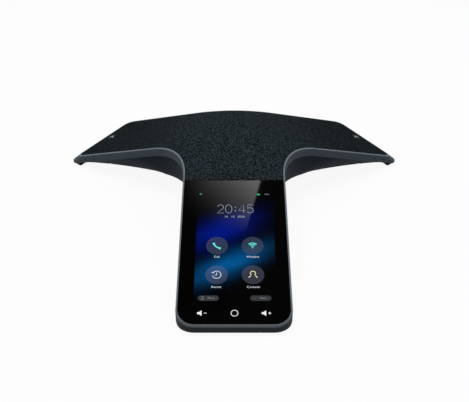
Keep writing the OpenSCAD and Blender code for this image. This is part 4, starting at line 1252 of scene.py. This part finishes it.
menuLines = [[(-24.4, y), (-22.2, y)] for y in (-183.7, -184.8, -185.9)]
nextDots = [[(x, -184.8), (end, -184.8)] for x, end in ((14.1, 14.3), (15.5, 15.7), (16.9, 17.1))]
prints = [
    (discPair("upperDiscs", "call", "link"), "disc"),
    (discPair("lowerDiscs", "history", "people"), "discLow"),
    (printShapes("softKeys", [pillOutline(*p, *shown["pillSize"], 2.25) for p in shown["pills"]], 0), "pill"),
    (printStrokes("clockDigits", clockPaths(*clock), shown["clockStroke"], 1), "clock"),
    # handset: a bent bar with two thick ends
    (printStrokes("handsetGlyph", [arc(callX + 3.0, callY + 3.2, 5.6, 5.6, 190, 262, 12)], 1.1, 2),
     "turquoise"),
    (printStrokes("handsetEnds", [
        [(callX - 2.75, callY + 2.6), (callX - 2.3, callY + 1.3)],
        [(callX + 1.4, callY - 2.4), (callX + 2.9, callY - 2.75)]], 1.9, 3), "turquoise"),
    # wireless: arcs over a dot
    (printStrokes("linkGlyph", [
        arc(linkX, linkY - 1.9, r, r, 45, 135, 10) for r in (1.7, 3.1, 4.5)] + [
        arc(linkX, linkY - 1.9, 0.25, 0.25, 0, 360, 8)], 0.75, 2), "turquoise"),
    # history: a ring with an arrow head and two hands
    (printStrokes("historyGlyph", [
        arc(pastX, pastY, 3.3, 3.3, 150, -165, 30),
        [(pastX - 3.9, pastY + 2.3), (pastX - 2.85, pastY + 1.5), (pastX - 1.7, pastY + 2.4)],
        [(pastX, pastY + 1.9), (pastX, pastY), (pastX - 1.2, pastY - 0.7)]], 0.55, 2), "white"),
    # people: a head over shoulders
    (printStrokes("peopleGlyph", [
        arc(peopleX, peopleY + 1.3, 1.95, 1.95, -50, 230, 20),
        arc(peopleX, peopleY - 3.9, 3.4, 3.4, 20, 62, 6),
        arc(peopleX, peopleY - 3.9, 3.4, 3.4, 118, 160, 6)], 0.65, 2), "yellow"),
    (printText("appLabels", [(*label, shown["labelHeight"]) for label in shown["labels"]], 1), "white"),
    (printText("softLabels", shown["softLabels"], 2), "grey"),
    (printStrokes("softMarks", menuLines + nextDots, 0.35, 2), "grey"),
    (printText("dateLine", [shown["date"]], 1), "clock"),
    (printStrokes("signalMark", [arc(*shown["signalAt"], r, r, 40, 140, 8) for r in (0.6, 1.4)], 0.5,
                  1), "green"),
    (printShapes("chargeMark", [pillOutline(*shown["charge"])], 1), "green"),
    (printText("statusText", [shown["status"]], 1), "grey"),
    (printShapes("volumeKeys", [speakerOutline(x - 1.7, keyRow) for x in (downX, upX)], 1), "key"),
    (printStrokes("keySigns", [
        [(downX + 1.2, keyRow), (downX + 3.3, keyRow)], [(upX + 1.2, keyRow), (upX + 3.3, keyRow)],
        [(upX + 2.25, keyRow - 1.05), (upX + 2.25, keyRow + 1.05)]], 0.5, 1), "key"),
    (printStrokes("homeKey", [closedArc(homeX, keyRow, 2.5, 2.5, 36)], 0.5, 1), "key"),
]
weld = 0.0000001  # print is too fine for the usual weld
for piece, ink in prints:
    rightNormals(piece, weld)
    coat(piece, inks[ink])
    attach(piece, "phone")
print("screen printed,", len(prints), "pieces")

# mute keys: a dark cap with a printed microphone, level with the cloth

muteKey = {"radius": 4.5, "low": -7.4, "high": -0.05, "edge": 0.15, "glyph": 0.42}
for left in (False, True):
    place = armPlace(*band["keyAt"], left)
    wide, narrow = [discOutline(0, 0, muteKey["radius"] - inset, 48) for inset in (0, muteKey["edge"])]
    sections = [(wide, muteKey["low"]), (wide, muteKey["high"] - muteKey["edge"]), (narrow, muteKey["high"])]
    side = "left" if left else "right"
    cap = rightNormals(slab(side + "MuteCap", sections, place))
    coat(smoothBelow(cap, 30), keyFinish)
    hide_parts(side + "_mute_light")
    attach(cap, "phone")
    raised = Matrix.Translation((0, 0, (muteKey["high"] - glass["high"]) * mm))
    up = place @ Matrix.Rotation(math.radians(90), 4, "Z") @ raised
    glyph = printStrokes(side + "MuteGlyph", [
        [(-0.5, 2.3), (-0.5, 0.6)], [(0.5, 2.3), (0.5, 0.6)], arc(0, 0.5, 1.7, 1.9, 200, 340, 12),
        [(0, -1.4), (0, -2.7)], [(-1.3, -2.8), (1.3, -2.8)], [(-2.9, 2.9), (3.0, -2.8)]],
        muteKey["glyph"], 2, up)
    rightNormals(glyph, weld)
    coat(glyph, inks["mark"])
    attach(glyph, "phone")
print("mute keys made")

# finishes of the carried-over nodes

blackPlastic = mouldedPlastic("blackPlastic", colours["black"], 0.4)
jackMetal = drawnMetal("jackMetal", (0.55, 0.56, 0.58, 1), 0.28, (2500.0, 60.0, 2500.0))
boardFinish = circuitBoard("boardGreen")
antennaFinish = circuitBoard("antennaBoard", (0.01, 0.02, 0.05, 1))
spiderFinish = wovenCloth("spiderCloth", (0.3, 0.14, 0.03, 1), (0.5, 0.26, 0.07, 1), 0.0006,
                          0.0001, flecks=0.1)
steelFinish = drawnMetal("poleSteel", (0.45, 0.46, 0.48, 1), 0.3, (900.0, 900.0, 60.0))
screwSteel = drawnMetal("screwSteel", (0.6, 0.61, 0.63, 1), 0.22, (1500.0, 1500.0, 1500.0))
flexFinish = mouldedPlastic("flexFilm", (0.42, 0.2, 0.05, 1), 0.35, 700.0, 0.000005, 0.15)
foamFinish = softRubber("foamBlack", colours["black"], 0.9, 1500.0, 0.0001)
footFinish = softRubber("footRubber", colours["foot"], 0.7)
shieldFinish = drawnMetal("shieldTin", (0.62, 0.63, 0.65, 1), 0.35, (200.0, 1800.0, 1800.0))
castFinish = drawnMetal("castFrame", (0.5, 0.51, 0.53, 1), 0.5, (700.0, 700.0, 700.0), 0.08)
finishOf = {
    "speaker_grille": mouldedPlastic("grillePlastic", colours["grille"], 0.6, 1200.0),
    "glass_gasket": foamFinish,
    "touch_sensor": screenFinish("sensorFilm", 0.1, (0.01, 0.01, 0.012, 1), **{"Coat Weight": 0.3}),
    "display_panel": screenFinish("panelLit", 0.2, (0.003, 0.004, 0.006, 1), **{"Emission Strength": 1.0}),
    "display_frame": castFinish, "display_flex": flexFinish, "main_board": boardFinish,
    "processor_shield": shieldFinish, "wireless_module": shieldFinish, "port_board": boardFinish,
    "ethernet_jack": jackMetal, "usb_jack": jackMetal, "service_jack": jackMetal, "audio_jack": blackPlastic,
    "power_transformer": mouldedPlastic("castResin", colours["black"], 0.3, 400.0),
    "board_capacitors": drawnMetal("capacitorSleeve", (0.08, 0.1, 0.16, 1), 0.35, (300.0,) * 3, 0.1, 0.2),
    "port_flex": flexFinish, "speaker_gasket": foamFinish, "voice_coil": woundCoil("coilWire"),
    "speaker_chamber": mouldedPlastic("chamberPlastic", colours["black"], 0.55, 1000.0, 0.00004),
    "speaker_basket": mouldedPlastic("basketCoat", colours["grille"], 0.35, 1500.0),
    "speaker_yoke": steelFinish, "speaker_top_plate": steelFinish,
    "speaker_magnet": mouldedPlastic("sinteredMagnet", paint(52, 52, 55), 0.6, 3000.0, 0.00003),
    "speaker_spider": spiderFinish, "speaker_surround": softRubber("surroundRubber", colours["black"], 0.5),
    "speaker_cone": mouldedPlastic("pressedCone", paint(38, 38, 40), 0.7, 1600.0, 0.00006),
    "dust_cap": mouldedPlastic("dustCapPulp", paint(34, 34, 36), 0.55, 1600.0, 0.00004),
    "left_mute_board": boardFinish, "right_mute_board": boardFinish, "left_mic_seal": foamFinish,
    "right_mic_seal": foamFinish, "left_mic_board": boardFinish, "right_mic_board": boardFinish,
    "left_arm_flex": flexFinish, "right_arm_flex": flexFinish, "left_antenna": antennaFinish,
    "right_antenna": antennaFinish, "front_foot": footFinish, "left_foot": footFinish,
    "right_foot": footFinish,
    "housing_screws": drawnMetal("blackScrew", (0.05, 0.05, 0.055, 1), 0.35, (1500.0,) * 3, 0.2),
    "display_screws": screwSteel, "board_screws": screwSteel, "speaker_screws": screwSteel,
}
for name, finish in finishOf.items():
    coat(nodes[name], finish)
print("nodes finished,", len(finishOf))

# spider: corrugated cloth in twelve sectors, each reaching from the moving coil out to the basket

spider = {"inner": 9.92, "outer": 20.6, "low": 38.85, "thick": 0.3, "wave": 0.45, "crests": 3, "sectors": 12,
          "steps": 4, "behind": 10}


def spiderProfile():
    steps = spider["crests"] * 8
    reach = (spider["outer"] - spider["inner"]) / steps
    waves = [(spider["inner"] + i * reach, spider["low"] + spider["wave"] * math.sin(math.radians(45 * i)))
             for i in range(steps + 1)]
    return [(r, z + spider["thick"]) for r, z in waves] + [(r, z) for r, z in reversed(waves)]


spiderMiddle = (hubY - spider["behind"]) * mm


def spiderPoint(r, z, turn):
    return r * mm * math.cos(turn), spiderMiddle + r * mm * math.sin(turn), z * mm


profile = spiderProfile()
for sector in range(spider["sectors"]):
    first = 2 * math.pi * sector / spider["sectors"]
    turns = [first + 2 * math.pi * step / spider["sectors"] / spider["steps"]
             for step in range(spider["steps"] + 1)]
    points = [spiderPoint(r, z, turn) for turn in turns for r, z in profile]
    n = len(profile)
    faces = [(row * n + i, row * n + (i + 1) % n, (row + 1) * n + (i + 1) % n, (row + 1) * n + i)
             for row in range(spider["steps"]) for i in range(n)]
    faces += [tuple(range(n)), tuple(reversed(range(spider["steps"] * n, (spider["steps"] + 1) * n)))]
    piece = rightNormals(pieceFrom("spiderSector" + str(sector + 1), points, faces))
    coat(smoothBelow(piece, 60), spiderFinish)
    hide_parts("speaker_spider")
    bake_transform(piece)
print("spider made,", spider["sectors"], "sectors")

# contacts in the sockets

contacts = {
    "ethernetPins": {"Count": 8, "Start": (-3.57, 44, 31.2), "Step": (1.02, 0, 0), "Size": (0.45, 9.5, 0.35),
                     "Turn": -16},
    "usbPins": {"Count": 4, "Start": (14.6, 45.0, 25.55), "Step": (2.27, 0, 0),
                "Size": (1.1, 6.5, 0.14), "Turn": 0},
}
goldFinish = drawnMetal("contactGold", (0.75, 0.5, 0.16, 1), 0.22, (1500.0, 200.0, 1500.0))
for name, pins in contacts.items():
    x, y, z = pins["Start"]
    row = growWith(linkPiece(name, bpy.data.meshes.new(name)), pinTree, {
        "Count": pins["Count"], "Start": (x * mm, (y + hubY) * mm, z * mm),
        "Step": [v * mm for v in pins["Step"]], "Size": [v * mm for v in pins["Size"]],
        "Turn": (math.radians(pins["Turn"]), 0, 0), "Finish": goldFinish})
    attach(row, "phone")
print("contacts made")

# floor, world and lamps

def lightFinish(name):
    # an empty material, with its tree and the socket that ends it
    finish = bpy.data.materials.new(name)
    finish.use_nodes = True
    tree = finish.node_tree
    tree.nodes.clear()
    return finish, tree, tree.nodes.new("ShaderNodeOutputMaterial").inputs[0]


stage = {"size": 6, "shadow": 0.08, "bounce": 0.2, "gloss": 0.35, "skyLow": 0.3, "skyHigh": 0.012}
side = stage["size"] / 2
floor = pieceFrom("floor", [(-side, -side, 0), (side, -side, 0), (side, side, 0), (-side, side, 0)],
                  [(0, 1, 2, 3)])
floorFinish, tree, ending = lightFinish("paleFloor")
path = tree.nodes.new("ShaderNodeLightPath")
seen = calc(tree, "MAXIMUM", path.outputs["Is Camera Ray"], path.outputs["Is Transmission Ray"])
mirrored = calc(tree, "MULTIPLY", path.outputs["Is Glossy Ray"], stage["gloss"])
bright = calc(tree, "MAXIMUM", calc(tree, "MULTIPLY", seen, 1 - stage["shadow"]), mirrored)
pale = blendColour(tree, seen, (stage["bounce"],) * 3 + (1,), (0.9, 0.9, 0.9, 1))
matt = add(tree, "ShaderNodeBsdfDiffuse", {"Color": pale})
lit = add(tree, "ShaderNodeEmission", {"Color": (1, 1, 1, 1), "Strength": 1.0})
mixed = add(tree, "ShaderNodeMixShader", {0: bright, 1: matt.outputs[0], 2: lit.outputs[0]})
tree.links.new(mixed.outputs[0], ending)
floor.data.materials.append(floorFinish)

world = bpy.data.worlds.new("studio")
bpy.context.scene.world = world
world.use_nodes = True
tree = world.node_tree
sky = tree.nodes["Background"]
path = tree.nodes.new("ShaderNodeLightPath")
direction = axes(tree, tree.nodes.new("ShaderNodeTexCoord").outputs["Generated"])
height = fitRange(tree, direction[2], 0.2, 0.75, 0.0, 1.0, True)
glossySky = ramp(tree, height, [(0.0, (stage["skyLow"],) * 3 + (1,)), (1.0, (stage["skyHigh"],) * 3 + (1,))])
diffuseSky = blendColour(tree, path.outputs["Is Glossy Ray"], (0.32, 0.326, 0.333, 1), glossySky)
plainSeen = calc(tree, "MAXIMUM", path.outputs["Is Camera Ray"], path.outputs["Is Transmission Ray"])
tree.links.new(blendColour(tree, plainSeen, diffuseSky, (1, 1, 1, 1)), sky.inputs[0])
sky.inputs[1].default_value = 1.0

lamps = {
    "keyLamp": {"place": (-0.3, -0.05, 1.4), "size": 0.7, "power": 9.5, "colour": (1, 0.99, 0.97)},
    "fillLamp": {"place": (0.6, 0.1, 1.3), "size": 0.7, "power": 2.5, "colour": (0.97, 0.985, 1)},
    "backLamp": {"place": (0.1, 1.2, 0.9), "size": 0.9, "power": 1.8, "colour": (1, 1, 1)},
}
for name, lamp in lamps.items():
    lampData = bpy.data.lights.new(name, "AREA")
    lampData.shape = "SQUARE"
    lampData.size = lamp["size"]
    lampData.energy = lamp["power"]
    lampData.color = lamp["colour"]
    lampObject = bpy.data.objects.new(name, lampData)
    lampObject.location = lamp["place"]
    aim = Vector((0, 0, 0.02)) - Vector(lamp["place"])
    lampObject.rotation_euler = aim.to_track_quat("-Z", "Y").to_euler()
    lampObject.visible_camera = False
    lampObject.visible_glossy = False
    bpy.context.scene.collection.objects.link(lampObject)

# a soft panel overhead that only shows in gloss; it fades to the left and towards the front
panel = {
    "height": 1.3, "left": -0.19, "back": 0.62, "front": 0.18, "edgeAt": (0.072, 0.547), "edgeSlope": 0.2827,
    "dark": -0.15, "fadeFrom": 0.395, "fadeOver": 0.151, "power": 2.8,
}


def panelEdge(y):
    return panel["edgeAt"][0] - panel["edgeSlope"] * (panel["edgeAt"][1] - y)


front, back = panel["front"], panel["back"]
corners = [(panel["left"], front), (panelEdge(front), front), (panelEdge(back), back), (panel["left"], back)]
softPanel = pieceFrom("softPanel", [(x, y, panel["height"]) for x, y in corners], [(0, 1, 2, 3)])
panelFinish, tree, ending = lightFinish("softPanelLight")
spot = axes(tree, tree.nodes.new("ShaderNodeTexCoord").outputs["Object"])


def shareFrom(value, start, reach):
    return calc(tree, "MAXIMUM", calc(tree, "DIVIDE", calc(tree, "SUBTRACT", value, start), reach), 0.0)


edge = calc(tree, "MULTIPLY_ADD", spot[1], panel["edgeSlope"], panelEdge(0) - panel["dark"])
across = shareFrom(spot[0], panel["dark"], edge)
down = shareFrom(spot[1], panel["fadeFrom"], panel["fadeOver"])
steepness = calc(tree, "MULTIPLY_ADD", across, -1.8, 2.9)
power = calc(tree, "MULTIPLY", calc(tree, "POWER", across, 1.45), calc(tree, "POWER", down, steepness))
lit = add(tree, "ShaderNodeEmission",
          {"Color": (1, 1, 1, 1), "Strength": calc(tree, "MULTIPLY", power, panel["power"])})
tree.links.new(lit.outputs[0], ending)
softPanel.data.materials.append(panelFinish)
for ray in ("visible_camera", "visible_diffuse", "visible_transmission", "visible_shadow"):
    setattr(softPanel, ray, False)
print("stage set")
